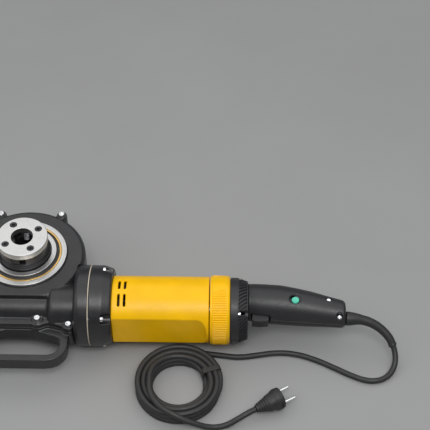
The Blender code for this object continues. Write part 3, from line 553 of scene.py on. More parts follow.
def fibre(name, colour, roughness, grain, depth):
    """Paper, carbon and rubber: matt, with a fine matted grain."""
    g = Graph(name, colour, roughness, 0.0)
    fine = g.noise(grain, 6, roughness=0.7)
    g.set("Base Color", g.mixed(g.ranged(fine, 0.0, 1.0), shade(colour, 0.8), shade(colour, 1.2)))
    g.set("Roughness", g.ranged(g.noise(90, 4), roughness - 0.08, roughness + 0.08))
    g.set("Normal", g.bump(fine, depth, 0.7, g.bump(g.noise(grain / 12, 2), depth * 2, 0.4)))
    return g.material


RING_AXIS = tuple(RING)
MOTOR_AXIS = tuple(RING + Vector((0, MOTOR_Y, 0)) * MM)
LAYSHAFT_AXIS = tuple(RING + Vector((0, LAYSHAFT_Y, 0)) * MM)
SILVER = (0.70, 0.70, 0.69)

LOOKS = {
    "black_casting": painted_casting(),
    "yellow_plastic": moulded("yellow_plastic", (0.95, 0.52, 0.001), 0.36, 0.06, 1500, 0.012, gloss=0.3),
    "black_plastic": moulded(
        "black_plastic", (0.024, 0.024, 0.026), 0.44, 0.07, 1300, 0.030, worn=(0.05, 0.05, 0.052)
    ),
    "bright_steel": turned_metal("bright_steel", SILVER, 0.33, "Z", RING_AXIS),
    "ground_steel": ground_metal("ground_steel", (0.78, 0.78, 0.765), 0.38),
    "tool_steel": ground_metal("tool_steel", (0.075, 0.075, 0.078), 0.36),
    "shaft_steel": turned_metal("shaft_steel", (0.56, 0.56, 0.56), 0.28, "X", MOTOR_AXIS),
    "layshaft_steel": turned_metal("layshaft_steel", (0.56, 0.56, 0.56), 0.28, "X", LAYSHAFT_AXIS),
    "black_oxide_steel": ground_metal("black_oxide_steel", (0.055, 0.055, 0.058), 0.34, 0.75, 900, 0.02),
    "brass": turned_metal("brass", (0.86, 0.56, 0.20), 0.30, "Z", RING_AXIS),
    "zinc_plate": ground_metal("zinc_plate", (0.86, 0.86, 0.87), 0.24, 1.0, 1500, 0.006, (0.0, 0.2)),
    "copper": turned_metal("copper", (0.75, 0.34, 0.19), 0.32, "X", MOTOR_AXIS, pitch=1800),
    "carbon": fibre("carbon", (0.03, 0.03, 0.031), 0.6, 1500, 0.02),
    "gasket_paper": fibre("gasket_paper", (0.52, 0.46, 0.37), 0.82, 1800, 0.03),
    "teal_plastic": moulded("teal_plastic", (0.10, 0.60, 0.42), 0.36, 0.05, 1500, 0.012, 0.2),
    "cord_rubber": fibre("cord_rubber", (0.024, 0.024, 0.025), 0.52, 1200, 0.02),
}
SHAFTS = {
    "worm_shaft": "shaft_steel",
    "worm_shaft_gear": "shaft_steel",
    "armature_shaft": "shaft_steel",
    "armature_core": "shaft_steel",
    "layshaft": "layshaft_steel",
    "layshaft_gear": "layshaft_steel",
}


def finish_piece(obj, slot, nodes=(), body=None, look=None, angle=35, even=True):
    """Shades a piece, gives it its material, hangs it on the body it rides on, and hides the CAD parts it
    stands for.
    """
    if obj.type == "MESH":
        obj.data.shade_smooth()
        obj.data.set_sharp_from_angle(angle=math.radians(angle))
        if even:
            step = obj.modifiers.new("normals", "WEIGHTED_NORMAL")
            step.keep_sharp = True
            step.weight = 50
    obj.data.materials.clear()
    obj.data.materials.append(LOOKS[look or slot])
    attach(obj, body or "machine")
    if nodes:
        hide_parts(*nodes)
    return obj


# Cord


def smooth_curve(name, points):
    """One open spline through the points, as thick as the cord."""
    data = bpy.data.curves.new(name, "CURVE")
    data.dimensions = "3D"
    data.bevel_depth = CORD_R * MM
    data.bevel_resolution = 6
    data.resolution_u = 6
    data.use_fill_caps = True
    line = data.splines.new("BEZIER")
    line.bezier_points.add(len(points) - 1)
    for knot, p in zip(line.bezier_points, points):
        knot.co = RING + Vector(p) * MM
        knot.handle_left_type = "AUTO"
        knot.handle_right_type = "AUTO"
    return add_object(name, data)


def coil_points():
    """Three layers, wound inwards, outwards and inwards again, and up to the last turn's inner side.

    A turn is a plain circle that eases over to the next one at its end. The last turn of a layer
    rolls over the one beside it, up to the next layer.
    """
    steps = 20
    pitch = COIL_TURNS[0] - COIL_TURNS[1]
    made = []
    for layer in range(3):
        inwards = layer % 2 == 0
        radii = COIL_TURNS if inwards else COIL_TURNS[::-1]
        step = -pitch if inwards else pitch
        level = FLOOR + CORD_R + 0.1 + 2 * CORD_R * layer
        for turn, radius in enumerate(radii):
            last = turn == len(radii) - 1
            count = steps // 4 if last and layer == 2 else steps
            for i in range(count):
                share = i / steps
                over = fade(share, 1 - EASING, 1)
                away, rise = radius + step * over, 0.0
                if last and layer < 2:
                    away = radius - step + step * over + step * math.cos(over * math.pi / 2)
                    rise = 2 * CORD_R * math.sin(over * math.pi / 2)
                if last and layer == 2:
                    rise = 2 * CORD_R * fade(share, -0.02, 0.29)
                x, y = on_circle(COIL_AT, away, COIL_START + 360 * share)
                made.append((x, y, level + rise))
    return made


cord_points = [*RELIEF_ROUTE, *CORD_ROUTE, *coil_points(), *TAIL_ROUTE]
mains_lead = finish_piece(
    smooth_curve("mains_lead", cord_points), "cord_rubber", ("mains_cord", "cord_coil", "cord_tail")
)


def through(a, b, c, d, t):
    """A place between b and c on the smooth curve through all four, t being the share of the way."""
    return 0.5 * (2 * b + (c - a) * t + (2 * a - 5 * b + 4 * c - d) * t * t + (3 * b - a - 3 * c + d) * t**3)


def strain_relief():
    """A tapered sleeve: a flare at the grip, a long taper and a small lip where the cord comes out."""
    route = [Vector(p) for p in RELIEF_ROUTE]
    route = [2 * route[0] - route[1], *route, 2 * route[-1] - route[-2]]
    spans = len(RELIEF_ROUTE) - 1
    rings = []
    steps = 70
    for i in range(steps + 1):
        share = i / steps
        k = min(int(share * spans), spans - 1)
        t = share * spans - k
        a, b, c, d = route[k : k + 4]
        middle = through(a, b, c, d, t)
        ahead = 0.5 * ((c - a) + 2 * (2 * a - 5 * b + 4 * c - d) * t + 3 * (3 * b - a - 3 * c + d) * t * t)
        side = ahead.cross(Vector((0, 0, 1))).normalized()
        up = side.cross(ahead).normalized()
        radius = 7.4 - 2.0 * share + 2.6 * (1 - fade(share, 0.0, 0.28))
        if share > 0.955:
            radius += 0.35
        if i in (0, steps):
            radius -= 0.5
        ring = [side * math.cos(q) + up * math.sin(q) for q in ring_angles(40)]
        rings.append([tuple(middle + radius * point) for point in ring])
    return loft("cord_relief", rings)


def ring_angles(count):
    return [2 * math.pi * i / count for i in range(count)]


relief = finish_piece(strain_relief(), "cord_rubber", ("strain_relief",))


def plug_parts():
    turn = Matrix.Rotation(math.radians(PLUG_TURN), 4, "Z") @ Matrix.Rotation(math.pi / 2, 4, "Y")
    x, y, _ = TAIL_ROUTE[-1]
    at = (x, y, FLOOR + PLUG_R + 0.1)
    profile = [(0, 40.0), (PLUG_R - 0.6, 40.0, 1.2), (PLUG_R - 0.1, 32.0, 3.0)]
    profile += [(12.5, 26.0, 3.0), (11.2, 19.0, 2.0)]
    for i in range(4):
        h = 16.5 - 3.4 * i
        r = 9.6 - 0.9 * i
        profile += [(r, h, 0.3), (r, h - 1.9, 0.3), (r - 1.2, h - 2.2, 0.2), (r - 1.2, h - 3.1, 0.2)]
    profile += [(5.4, 1.0, 0.4), (0, 1.0)]
    body = turned("plug_body", profile, 72, turn, at)
    for y in (-14.2, 14.2):
        cut(body, box("finger", (-20, y - 1.4, 27), (20, y + 1.4, 36), turn, at))
    pins = None
    for side in (-1, 1):
        profile = [(0, 58.0), (2.4, 58.0, 1.2), (2.4, 38.5), (0, 38.5)]
        pin = turned("plug_pins", profile, 32, turn, at)
        away = turn @ Vector((0, side * 9.5 * MM, 0))
        pin.data.transform(Matrix.Translation(away))
        pins = pin if pins is None else join(pins, pin)
    return body, pins


plug_body, plug_pins = plug_parts()
finish_piece(plug_body, "cord_rubber", ("mains_plug",))
finish_piece(plug_pins, "zinc_plate", look="zinc_plate")


def coil_tie():
    """A strap round the turns of the coil."""
    section = [(34.6, -53.9), (61.4, -53.9), (61.4, -29.0), (34.6, -29.0)]
    rounded = eased(section, 4.2, steps=8)
    inner = eased([(35.8, -52.9), (60.2, -52.9), (60.2, -30.2), (35.8, -30.2)], 3.4, steps=8)
    ring = plate("coil_tie", [tuple(p) for p in rounded], -4.0, 4.0)
    hollow = plate("tie_room", [tuple(p) for p in inner], -5.0, 5.0)
    cut(ring, hollow)
    ring.data.transform(Matrix.Translation(-RING))
    # the section's first number runs out from the coil's middle and its second is the height
    stand = Matrix(((1, 0, 0, 0), (0, 0, -1, 0), (0, 1, 0, 0), (0, 0, 0, 1)))
    spin = Matrix.Rotation(math.radians(20), 4, "Z")
    ring.data.transform(Matrix.Translation(RING + Vector((*COIL_AT, 0)) * MM) @ spin @ stand)
    return round_edges(ring, 0.3)


tie = finish_piece(coil_tie(), "cord_rubber")


# Gear housing

HOUSING_SCREWS = {  # x, y and the height of the lug's top
    "housing_screw_1": (*on_circle((0, 0), 89.0, 60.0), COVER_TOP - 1),
    "housing_screw_2": (*on_circle((0, 0), 89.0, 120.0), COVER_TOP - 1),
    "housing_screw_3": (26.0, -97.5, 10.0),
    "housing_screw_4": (70.2, -106.5, 9.0),
}
SPLIT_FLANGE = (
    (-51.5, -72.0),
    (-51.5, -105.0, 4.0),
    (18.0, -105.0, 3.0),
    (22.5, -107.5, 3.0),
    (30.0, -107.5, 3.0),
    (35.0, -104.5, 3.0),
    (42.0, -102.4, 3.0),
    (60.0, -107.4, 3.0),
    (64.5, -113.0, 3.0),
    (72.0, -114.8, 3.0),
    (77.3, -111.0, 3.0),
    (77.3, -72.0),
)


def ring_room(low, high):
    """The room for the wheel, its bushes and the collar of the ring."""
    profile = [
        (0, high),
        (60.5, high),
        (60.5, 30.8),
        (58.8, 30.8),
        (58.8, 11.0),
        (63.0, 11.0),
        (63.0, -14.0),
        (58.8, -14.0),
        (58.8, low),
        (0, low),
    ]
    return turned("ring_room", profile, 144)


def worm_room():
    profile = [
        (0, NECK_END + 1),
        (14.3, NECK_END + 1),
        (14.3, 58.0),
        (11.0, 58.0),
        (11.0, 50.0),
        (17.5, 42.0),
        (17.5, -34.0),
        (11.0, -34.0),
        (11.0, -36.0),
        (13.0, -36.0),
        (13.0, -46.0),
        (0, -46.0),
    ]
    return turned("worm_room", profile, 48, ALONG_X, (0, MOTOR_Y, 0))


def collar_room():
    """Where the gearbox collar reaches into the round housing."""
    return rod("collar_room", COLLAR_R + 0.5, 77.7, 110, 128, ALONG_X, (0, COLLAR_Y, 0))


def tunnel_and_neck():
    profile = [
        (0, NECK_END),
        (NECK_R, NECK_END, 1.5),
        (NECK_R, 44.5, 3.0),
        (NECK_R - 5, 40.0, 2.0),
        (TUNNEL_R, 40.0, 1.0),
        (TUNNEL_R, -52.0, 4.0),
        (0, -52.0),
    ]
    return turned("tunnel", profile, 96, ALONG_X, (0, MOTOR_Y, 0))


def carrying_loop():
    """The flat loop in front, with its hand window."""
    corner, side, front = 28.0, 42.0, -130.0
    outer = [(-70.0, -52.0)]
    outer += arc((-side, front), corner, 180, 270, 16)
    outer += arc((side, front), corner, 270, 360, 16)
    outer += [(70.0, -80.0), (45.0, -66.0)]
    loop = plate("loop", outer, -24.0, -4.0)
    window = arc((-side, front), 17.5, 180, 270, 14)
    window += arc((side, front), 17.5, 270, 360, 14)
    window += arc((51.5, -125.5), 8.0, 0, 75, 8)
    window += [(20.0, -107.3, 6.0), (-20.0, -107.3, 6.0)]
    window += arc((-51.5, -125.5), 8.0, 105, 180, 8)
    return cut(loop, plate("window", window, -27, -1))


def housing_base():
    profile = [(0, 1), (HOUSING_R, 1), (HOUSING_R, -32.0, 5.0), (79.0, -40.0, 5.0)]
    profile += [(66.0, -40.0, 2.0), (66.0, FLOOR), (0, FLOOR)]
    base = turned("cast_base", profile, 144)
    join(base, tunnel_and_neck())
    join(base, plate("flange", SPLIT_FLANGE, -10, 2))
    for x, y, _ in HOUSING_SCREWS.values():
        join(base, rod("lug", 7.6, -27, 3, 40, at=(x, y, 0)))
    join(base, carrying_loop())
    cut(base, box("above", (-120, -200, -GAP), (120, 120, 60)))
    cut(base, collar_room())
    cut(base, ring_room(FLOOR - 1, 60), worm_room())
    for x, y, _ in HOUSING_SCREWS.values():
        cut(base, rod("hole", 2.8, -20, 1, 24, at=(x, y, 0)))
    # shallow pockets round the hub, with ribs between them
    pockets = []
    for k in range(10):
        first, last = 36 * k + 4, 36 * k + 32
        if not 235 < (first + last) / 2 < 325:
            outline = arc((0, 0), 75.5, first, last, 8) + arc((0, 0), 69.0, last, first, 8)
            pockets.append(plate("pocket", eased(outline, 1.5), -45, -36))
    cut(base, *pockets)
    return soften(base, 1.0, 7)


def housing_cover():
    profile = [(0, COVER_TOP), (HOUSING_R - 4.5, COVER_TOP, 4.0), (HOUSING_R, COVER_TOP - 6, 6.0)]
    profile += [(HOUSING_R, -3), (0, -3)]
    cover = turned("cast_cover", profile, 144)
    cut(cover, box("step", (-90, -90, -5), (90, -74.5, 40)))
    join(cover, tunnel_and_neck())
    join(cover, plate("flange", SPLIT_FLANGE, -1, 8))
    for x, y, top in HOUSING_SCREWS.values():
        join(cover, rod("lug", 7.6, -2, top, 40, at=(x, y, 0)))
    cut(cover, box("below", (-120, -200, -60), (120, 120, GAP)))
    cut(cover, collar_room())
    cut(cover, ring_room(-60, 60), worm_room())
    for x, y, top in HOUSING_SCREWS.values():
        profile = [(0, top + 12), (5.4, top + 12), (5.4, top), (2.8, top), (2.8, -1), (0, -1)]
        cut(cover, turned("seat", profile, 32, at=(x, y, 0)))
    # the cast groove along the split flange
    cut(cover, box("groove", (-24, -96.7, 6.6), (15, -95.3, 12)))
    return soften(cover, 1.0, 7)


finish_piece(housing_base(), "black_casting", ("gear_housing_base",), even=False, angle=180)
finish_piece(housing_cover(), "black_casting", ("gear_housing_cover",), even=False, angle=180)


# Screws


def cap_screw(name, length, place, turn=UPRIGHT, head_r=4.2, head=3.6, shank_r=2.3):
    """A socket screw whose head stands on the plane through its origin."""
    top = 0.3 + head
    profile = [
        (0, top),
        (head_r, top, 0.7),
        (head_r, 0.3, 0.2),
        (shank_r, 0.3),
        (shank_r, -length, 0.5),
        (0, -length),
    ]
    screw = turned(name, profile, 40, turn, place)
    socket = plate("socket", arc((0, 0), head_r * 0.56, 0, 300, 5), top - head * 0.55, top + 1, turn, place)
    return cut(screw, socket)


for name, (x, y, top) in HOUSING_SCREWS.items():
    finish_piece(cap_screw("shown_" + name, top + 18, (x, y, top)), "zinc_plate", (name,))
for i, angle in enumerate(COLLAR_SCREW_ANGLES):
    y, z = collar_screw_at(angle)
    screw = cap_screw(f"shown_collar_screw_{i + 1}", 29, (116, y, z), ALONG_X)
    finish_piece(screw, "zinc_plate", (f"collar_screw_{i + 1}",))
for i, (x, y, top) in enumerate(GRIP_SCREWS):
    name = f"shown_grip_screw_{i + 1}"
    screw = cap_screw(name, top + 4, (x, y, top - 3.2), head_r=3.3, head=2.4, shank_r=1.5)
    finish_piece(screw, "zinc_plate", (f"grip_screw_{i + 1}",))


# Drive ring and die head


def gear_outline(teeth, module, addendum=0.85, dedendum=1.18, width=0.41):
    pitch_r = teeth * module / 2
    step = 2 * math.pi / teeth
    levels = (
        (pitch_r - dedendum * module, -(width + 0.17) / 2),
        (pitch_r + addendum * module, -(width - 0.21) / 2),
        (pitch_r + addendum * module, (width - 0.21) / 2),
        (pitch_r - dedendum * module, (width + 0.17) / 2),
    )
    return [
        (r * math.cos((i + share) * step), r * math.sin((i + share) * step))
        for i in range(teeth)
        for r, share in levels
    ]


def ring_gear():
    profile = [
        (60.0, 37.0, 0.5),
        (60.0, 31.2, 0.3),
        (53.0, 31.2),
        (53.0, -50.0, 0.8),
        (44.0, -50.0, 0.8),
        (44.0, 37.0),
    ]
    ring = turned("shown_ring_gear", profile, 144)
    module = 116.0 / 36
    wheel = plate("teeth", gear_outline(36, module), -8, 8)
    lead_angle = math.atan(math.pi * module / (2 * math.pi * 12.0))
    for v in wheel.data.vertices:
        twist = (v.co.z - RING.z) * math.tan(lead_angle) / 0.058
        v.co = Matrix.Translation(RING) @ Matrix.Rotation(twist, 4, "Z") @ Matrix.Translation(-RING) @ v.co
    cut(wheel, rod("inside", 49.0, -9, 9, 48))
    join(ring, wheel)
    cut(ring, plate("socket", octagon(SOCKET_APOTHEM, 0.8), 2.7, 39))
    counterbore = [(0, 39), (53.6, 39), (53.6, 37.4), (52.8, 36.6), (52.8, 31.0), (0, 31.0)]
    cut(ring, turned("counterbore", counterbore, 144))
    return ring


def adapter():
    body = plate("shown_adapter", octagon(ADAPTER_APOTHEM, 1.2), 3, 34)
    round_edges(body, 0.6)
    flange = [(0, 40), (45.6, 40, 0.6), (45.6, 29, 0.4), (0, 29)]
    join(body, turned("flange", flange, 144))
    cut(body, plate("socket", octagon(DIE_APOTHEM + 0.3, 0.8), 2, 32))
    room = [(0, 41), (39.2, 41), (39.2, 40.1), (38.5, 39.4), (38.5, 30.0), (0, 30.0)]
    cut(body, turned("counterbore", room, 144))
    return body


def die_body():
    profile = [
        (17.0, 62.4, 0.5),
        (34.5, 62.4, 0.4),
        (34.5, 47.6, 1.2),
        (37.4, 44.5, 1.0),
        (37.4, 30.3, 0.4),
        (17.0, 30.3),
    ]
    body = turned("shown_die_body", profile, 144)
    end = plate("octagon_end", octagon(DIE_APOTHEM, 1.0), 6, 33)
    cut(end, rod("guide", 19.0, 5, 34, 64))
    join(body, round_edges(end, 0.4, 1))
    cutters = []
    for k in range(4):
        turn = Matrix.Rotation(math.radians(CHASER_ANGLE + 90 * k), 4, "Z")
        cutters.append(box("slot", (8, -6.3, 50), (42, 6.3, 66), turn))
        cutters.append(box("chips", (10, 5.5, 51), (43, 14, 67), turn))
        x, y = on_circle((0, 0), DIE_SCREW_R, DIE_SCREW_ANGLE + 90 * k)
        cutters.append(rod("post_hole", 2.6, 53, 63, 24, at=(x, y, 0)))
    # a shallow groove round the shoulder, as a lathe leaves it
    cutters.append(turned("groove", [(38, 39.2), (38, 37.8), (36.7, 38.1), (36.7, 38.9)], 144))
    cut(body, *cutters)
    return round_edges(body, 0.25, 1, 50)


def die_cover():
    profile = [(15.5, DIE_TOP, 0.5), (36.0, DIE_TOP, 0.9), (36.0, 62.8, 0.5), (15.5, 62.8, 0.4)]
    cover = turned("shown_die_cover", profile, 160)
    cutters = []
    for k in range(4):
        x, y = on_circle((0, 0), DIE_SCREW_R, DIE_SCREW_ANGLE + 90 * k)
        sink = [(0, 73), (5.5, 73), (5.5, 72.2), (5.3, 71.9), (5.3, 71.0), (2.7, 68.0), (2.7, 62), (0, 62)]
        cutters.append(turned("sink", sink, 48, at=(x, y, 0)))
    return cut(cover, *cutters)


def sunk_screw(name, x, y, turn_by):
    profile = [(0, 71.5), (4.8, 71.5, 0.3), (4.8, 71.0, 0.1), (2.2, 68.1), (2.2, 54, 0.4), (0, 54)]
    screw = turned(name, profile, 48, at=(x, y, 0))
    hexagon = plate("socket", arc((0, 0), 2.5, turn_by, turn_by + 300, 5), 69.4, 73, at=(x, y, 0))
    cut(screw, hexagon)
    return screw


def chaser(name, k):
    """A chaser: its cutting end carries a taper thread, one step on from the last chaser's."""
    pitch = 2.309
    rings = []
    steps = 60
    for i in range(steps + 1):
        z = 50.4 + 11.7 * i / steps
        phase = (z - 50.4) / pitch + k / 4
        tooth = 0.62 * pitch * abs(2 * (phase % 1) - 1)
        throat = 2.4 * max(0.0, (z - 58.5) / 3.6)
        tip = 11.5 + tooth + throat
        rings.append(
            [
                (33.6, -5.9, z),
                (33.6, 5.9, z),
                (18.5, 5.9, z),
                (tip + 1.2, 3.4, z),
                (tip, 2.4, z),
                (tip + 0.25, -2.6, z),
                (tip + 3.0, -5.0, z),
                (18.5, -5.9, z),
            ]
        )
    turn = Matrix.Rotation(math.radians(CHASER_ANGLE + 90 * k), 4, "Z")
    return loft(name, rings, turn)


finish_piece(ring_gear(), "bright_steel", ("ring_gear",), "drive_ring")
profile = [(52.6, 37.2, 0.5), (52.6, 31.3), (49.8, 31.3), (49.8, 37.2, 0.5)]
retaining = turned("shown_retaining_ring", profile, 144)
finish_piece(retaining, "brass", ("die_head_retaining_ring",), "drive_ring")
# a black ring in the gap between the adapter's flange and the retaining ring: painted shade, standing in for
# the shadow in that gap
gap_shade_ring = turned("painted_gap_shade", [(49.3, 36.4, 0.5), (49.3, 34.2), (45.7, 34.2), (45.7, 36.4, 0.5)], 144)
finish_piece(gap_shade_ring, "black_plastic", (), "adapter")
finish_piece(adapter(), "bright_steel", ("adapter_ring",), "adapter")
finish_piece(die_body(), "black_oxide_steel", ("die_head_body",), "die_head")
finish_piece(die_cover(), "bright_steel", ("die_head_cover",), "die_head", "ground_steel")
for k in range(4):
    x, y = on_circle((0, 0), DIE_SCREW_R, DIE_SCREW_ANGLE + 90 * k)
    screw = sunk_screw(f"shown_die_screw_{k + 1}", x, y, 11 + 37 * k)
    finish_piece(screw, "black_oxide_steel", (f"die_cover_screw_{k + 1}",), "die_head")
    made = chaser(f"shown_chaser_{k + 1}", k)
    finish_piece(made, "bright_steel", (f"chaser_{k + 1}",), "die_head", "tool_steel")


# Gearbox


def gear_room():
    return rod("gear_room", GEAR_ROOM_R, 84, 107, 96, ALONG_X, (0, GEAR_ROOM_Y, 0))


def screw_holes(low, high):
    made = []
    for angle in COLLAR_SCREW_ANGLES:
        y, z = collar_screw_at(angle)
        made.append(rod("screw_hole", 2.8, low, high, 24, ALONG_X, (0, y, z)))
    return made


def under_collar():
    """What the flat foot of the collar leaves out."""
    return box("under", (70, -130, FLOOR - 20), (140, 0, FLOOR))


def gearbox_case():
    profile = [(0, 98.0), (COLLAR_R, 98.0, 0.3), (COLLAR_R, 84.0, 3.0)]
    profile += [(COLLAR_R - 2, 80.0, 3.0), (COLLAR_R - 6, 78.0, 3.0), (0, 78.0)]
    case = turned("cast_case", profile, 144, ALONG_X, (0, COLLAR_Y, 0))
    cut(case, gear_room(), rod("shaft_hole", 9.4, 72, 90, 40, ALONG_X, (0, MOTOR_Y, 0)))
    cut(case, rod("layshaft_seat", 5.3, 79, 90, 32, ALONG_X, (0, LAYSHAFT_Y, 0)), *screw_holes(84, 99))
    cut(case, under_collar())
    return soften(case, 0.8, 3)


def gasket():
    made = rod("shown_gasket", COLLAR_R - 0.1, 98.1, 99.4, 144, ALONG_X, (0, COLLAR_Y, 0))
    cut(made, gear_room(), *screw_holes(97, 101))
    return cut(made, under_collar())


def motor_flange():
    profile = [
        (0, 130.0),
        (51.5, 130.0, 0.8),
        (53.0, 128.5, 1.0),
        (COLLAR_R - 0.2, 117.0, 4.0),
        (COLLAR_R, 99.5, 0.3),
        (0, 99.5),
    ]
    flange = turned("cast_flange", profile, 144, ALONG_X, (0, COLLAR_Y, 0))
    on_axis = (0, MOTOR_Y, 0)
    cut(flange, gear_room(), rod("hollow", 38.0, 122, 140, 96, ALONG_X, on_axis))
    cut(flange, rod("bearing_seat", 13.0, 112, 125, 48, ALONG_X, on_axis))
    cut(flange, rod("pinion_way", 8.0, 100, 115, 40, ALONG_X, on_axis))
    cut(flange, rod("layshaft_seat", 5.3, 100, 118.4, 32, ALONG_X, (0, LAYSHAFT_Y, 0)), *screw_holes(98, 120))
    for angle in COLLAR_SCREW_ANGLES:
        y, z = collar_screw_at(angle)
        cut(flange, rod("pocket", 7.4, 116, 140, 48, ALONG_X, (0, y, z)))
    cut(flange, under_collar())
    return soften(flange, 0.8, 4)


finish_piece(gearbox_case(), "black_casting", ("gearbox_case",), even=False, angle=180)
finish_piece(gasket(), "gasket_paper", ("gearbox_gasket",))
finish_piece(motor_flange(), "black_casting", ("motor_flange",), even=False, angle=180)


# Motor


def flat_cutter(side):
    """What a flat leaves off the round side. It runs out in a curve before the rear end."""
    run_out = arc((FLAT_END, MOTOR_FLAT + FLAT_RUN_OUT), FLAT_RUN_OUT, -90, -31, 16)
    outline = [(129.0, MOTOR_FLAT), *run_out, (run_out[-1][0], 50.0), (129.0, 50.0)]
    return plate("flat", [(x, side * y) for x, y in outline], -32, 32, at=(0, MOTOR_Y, 0))


def motor_housing():
    profile = [(0, 265.0), (MOTOR_R, 265.0, 1.2), (MOTOR_R, 130.3, 0.8), (0, 130.3)]
    housing = turned("shown_motor_housing", profile, 200, ALONG_X, (0, MOTOR_Y, 0))
    cut(housing, flat_cutter(-1), flat_cutter(1))
    bore = rod("bore", MOTOR_R - MOTOR_WALL, 128, 267, 160, ALONG_X, (0, MOTOR_Y, 0))
    inner_flat = MOTOR_FLAT - MOTOR_WALL + 0.2
    for side in (-1, 1):
        near, far = sorted((side * inner_flat, side * 50.0))
        cut(bore, box("flat_wall", (127, near, -40), (263, far, 40), at=(0, MOTOR_Y, 0)))
    slots = []
    for x in (140.3, 148.3):
        for start, end in ((-20.9, 1.5), (11.4, 34.4)):
            for side in (0.0, 180.0):
                first = 180.0 + start + side
                last = first + end - start
                outline = arc((0, 0), MOTOR_R + 2, first, last, 16)
                outline += arc((0, 0), MOTOR_R - 8, last, first, 16)
                slots.append(plate("vent", outline, x - 1.65, x + 1.65, ALONG_X, (0, MOTOR_Y, 0)))
    cut(housing, bore, *slots)
    return soften(housing, 0.8, 3)


def polar_shell(name, stations, radius_at, inner, count):
    """A shell round the motor's axis, from a grid of outer radii and a plain bore.

    stations are the places along X, radius_at(x, degrees) is the outer radius, the degrees being
    from straight up towards the loop, and inner is the bore's profile as (radius, x) points that
    run back from the last station to the first.
    """
    verts, faces = [], []
    rows = [[(radius_at(x, 360 * i / count), x) for i in range(count)] for x in stations]
    rows += [[(r, x)] * count for r, x in inner]
    for row in rows:
        for i, (r, x) in enumerate(row):
            a = 2 * math.pi * i / count
            verts.append((x, -r * math.sin(a), r * math.cos(a)))
    for j in range(len(rows)):
        k = (j + 1) % len(rows)
        for i in range(count):
            n = (i + 1) % count
            faces.append((j * count + i, j * count + n, k * count + n, k * count + i))
    return new_mesh(name, verts, faces, UPRIGHT, (0, MOTOR_Y, 0))


def direction_ring():
    low, high = 266.3, 294.0
    front = [low, low + 0.15, low + 0.5, low + 1.0]
    middle = [267.8 + 0.35 * i for i in range(58)]
    back = [288.5 + 5.4 * math.sin(math.pi / 2 * i / 9) for i in range(1, 10)]
    ribs = 90

    def radius(x, degrees):
        r = 48.5
        if x < 267.3:
            r -= 0.8 * (1 - math.sqrt(max(0.0, 1 - (267.3 - x) ** 2)))
        if x > 288.5:
            r -= 3.4 * (1 - math.sqrt(max(0.0, 1 - ((x - 288.5) / 5.5) ** 2)))
        signed = (degrees + 90) % 180 - 90
        plain = 1 - fade(abs(signed + 17 + (x - 278) * 0.5), 21.0, 23.0)
        along = fade(x, 269.6, 270.4) * (1 - fade(x, 289.0, 290.0))
        wave = (degrees * ribs / 360) % 1
        groove = 1.15 * fade(abs(2 * wave - 1), 0.30, 0.72)
        lip = 0.45 * (1 - fade(x, 268.8, 269.6))
        return r - groove * along * (1 - plain) + 0.35 * along * plain - lip

    inner = [(43.0, high), (43.0, low)]
    return polar_shell("shown_direction_ring", front + middle + back, radius, inner, ribs * 12)


def rear_cap():
    louvres = 48
    stations = [294.45, 294.6, 295.0]
    stations += [295.6 + 0.6 * i for i in range(15)] + [304.6 + 0.3 * i for i in range(46)]
    stations += [318.5, 318.8, 319.0]

    def radius(x, degrees):
        if x <= 304.0:
            r = 45.6
        elif x <= 317.5:
            r = 45.6 - 4.6 * ((x - 304.0) / 13.5) ** 1.15
        else:
            r = 41.0 - 1.5 * (1 - math.sqrt(max(0.0, 1 - ((x - 317.5) / 1.5) ** 2)))
        if x < 295.0:
            r -= 0.4 * (295.0 - x) / 0.55
        inside = fade(x, 306.2, 306.8) * (1 - fade(x, 316.6, 317.2))
        wave = (degrees * louvres / 360 + (x - 311.0) * 0.145) % 1
        open_part = fade(abs(2 * wave - 1), 0.38, 0.52)
        return r - 2.6 * inside * open_part

    inner = [
        (39.5, 319.0),
        (12.0, 319.0),
        (12.0, 315.0),
        (37.5, 315.0),
        (38.5, 287.0),
        (8.0, 287.0),
        (8.0, 283.0),
        (11.3, 283.0),
        (11.3, 275.0),
        (39.0, 275.0),
        (39.0, 267.0),
        (42.6, 267.0),
        (42.6, 294.4),
    ]
    cap = polar_shell("shown_rear_cap", stations, radius, inner, 48 * 14)
    seats = []
    for angle in (45.0, 135.0, -45.0, -135.0):
        a = math.radians(angle)
        y, z = MOTOR_Y - 41.7 * math.sin(a), 41.7 * math.cos(a)
        seats.append(rod("seat", 4.6, 305.0, 330, 40, ALONG_X, (0, y, z)))
    return cut(cap, *seats)


def cap_screws():
    for i, angle in enumerate((45.0, 135.0, -45.0, -135.0)):
        a = math.radians(angle)
        y, z = MOTOR_Y - 41.7 * math.sin(a), 41.7 * math.cos(a)
        name = f"cap_screw_{i + 1}"
        screw = cap_screw(name, 2.0, (305.2, y, z), ALONG_X, head_r=3.4, head=3.4, shank_r=2.0)
        finish_piece(screw, "zinc_plate")


finish_piece(motor_housing(), "yellow_plastic", ("motor_housing",), even=False, angle=180)
made = direction_ring()
finish_piece(made, "yellow_plastic", ("direction_ring",), "direction_selector", angle=60, even=False)
finish_piece(rear_cap(), "black_plastic", ("rear_cap",), angle=50, even=False)
cap_screws()


# Grip


def between(stations, x):
    """The middle and radius at a place along the grip, on a smooth curve through the stations."""
    rows = [stations[0], *stations, stations[-1]]
    for a, b, c, d in zip(rows, rows[1:], rows[2:], rows[3:]):
        if b[0] <= x <= c[0]:
            t = (x - b[0]) / (c[0] - b[0])
            return [through(*four, t) for four in zip(a[1:], b[1:], c[1:], d[1:])]
    return list(rows[-1][1:])


def grip_body(name, shrink, low, high, step=3.0):
    rings = []
    count = max(2, round((high - low) / step))
    for i in range(count + 1):
        x = low + (high - low) * i / count
        y, radius = between(GRIP_STATIONS, min(max(x, GRIP_STATIONS[0][0]), GRIP_STATIONS[-1][0]))
        radius -= shrink
        rings.append([(x, y + radius * math.cos(a), radius * math.sin(a)) for a in ring_angles(96)])
    return loft(name, rings)


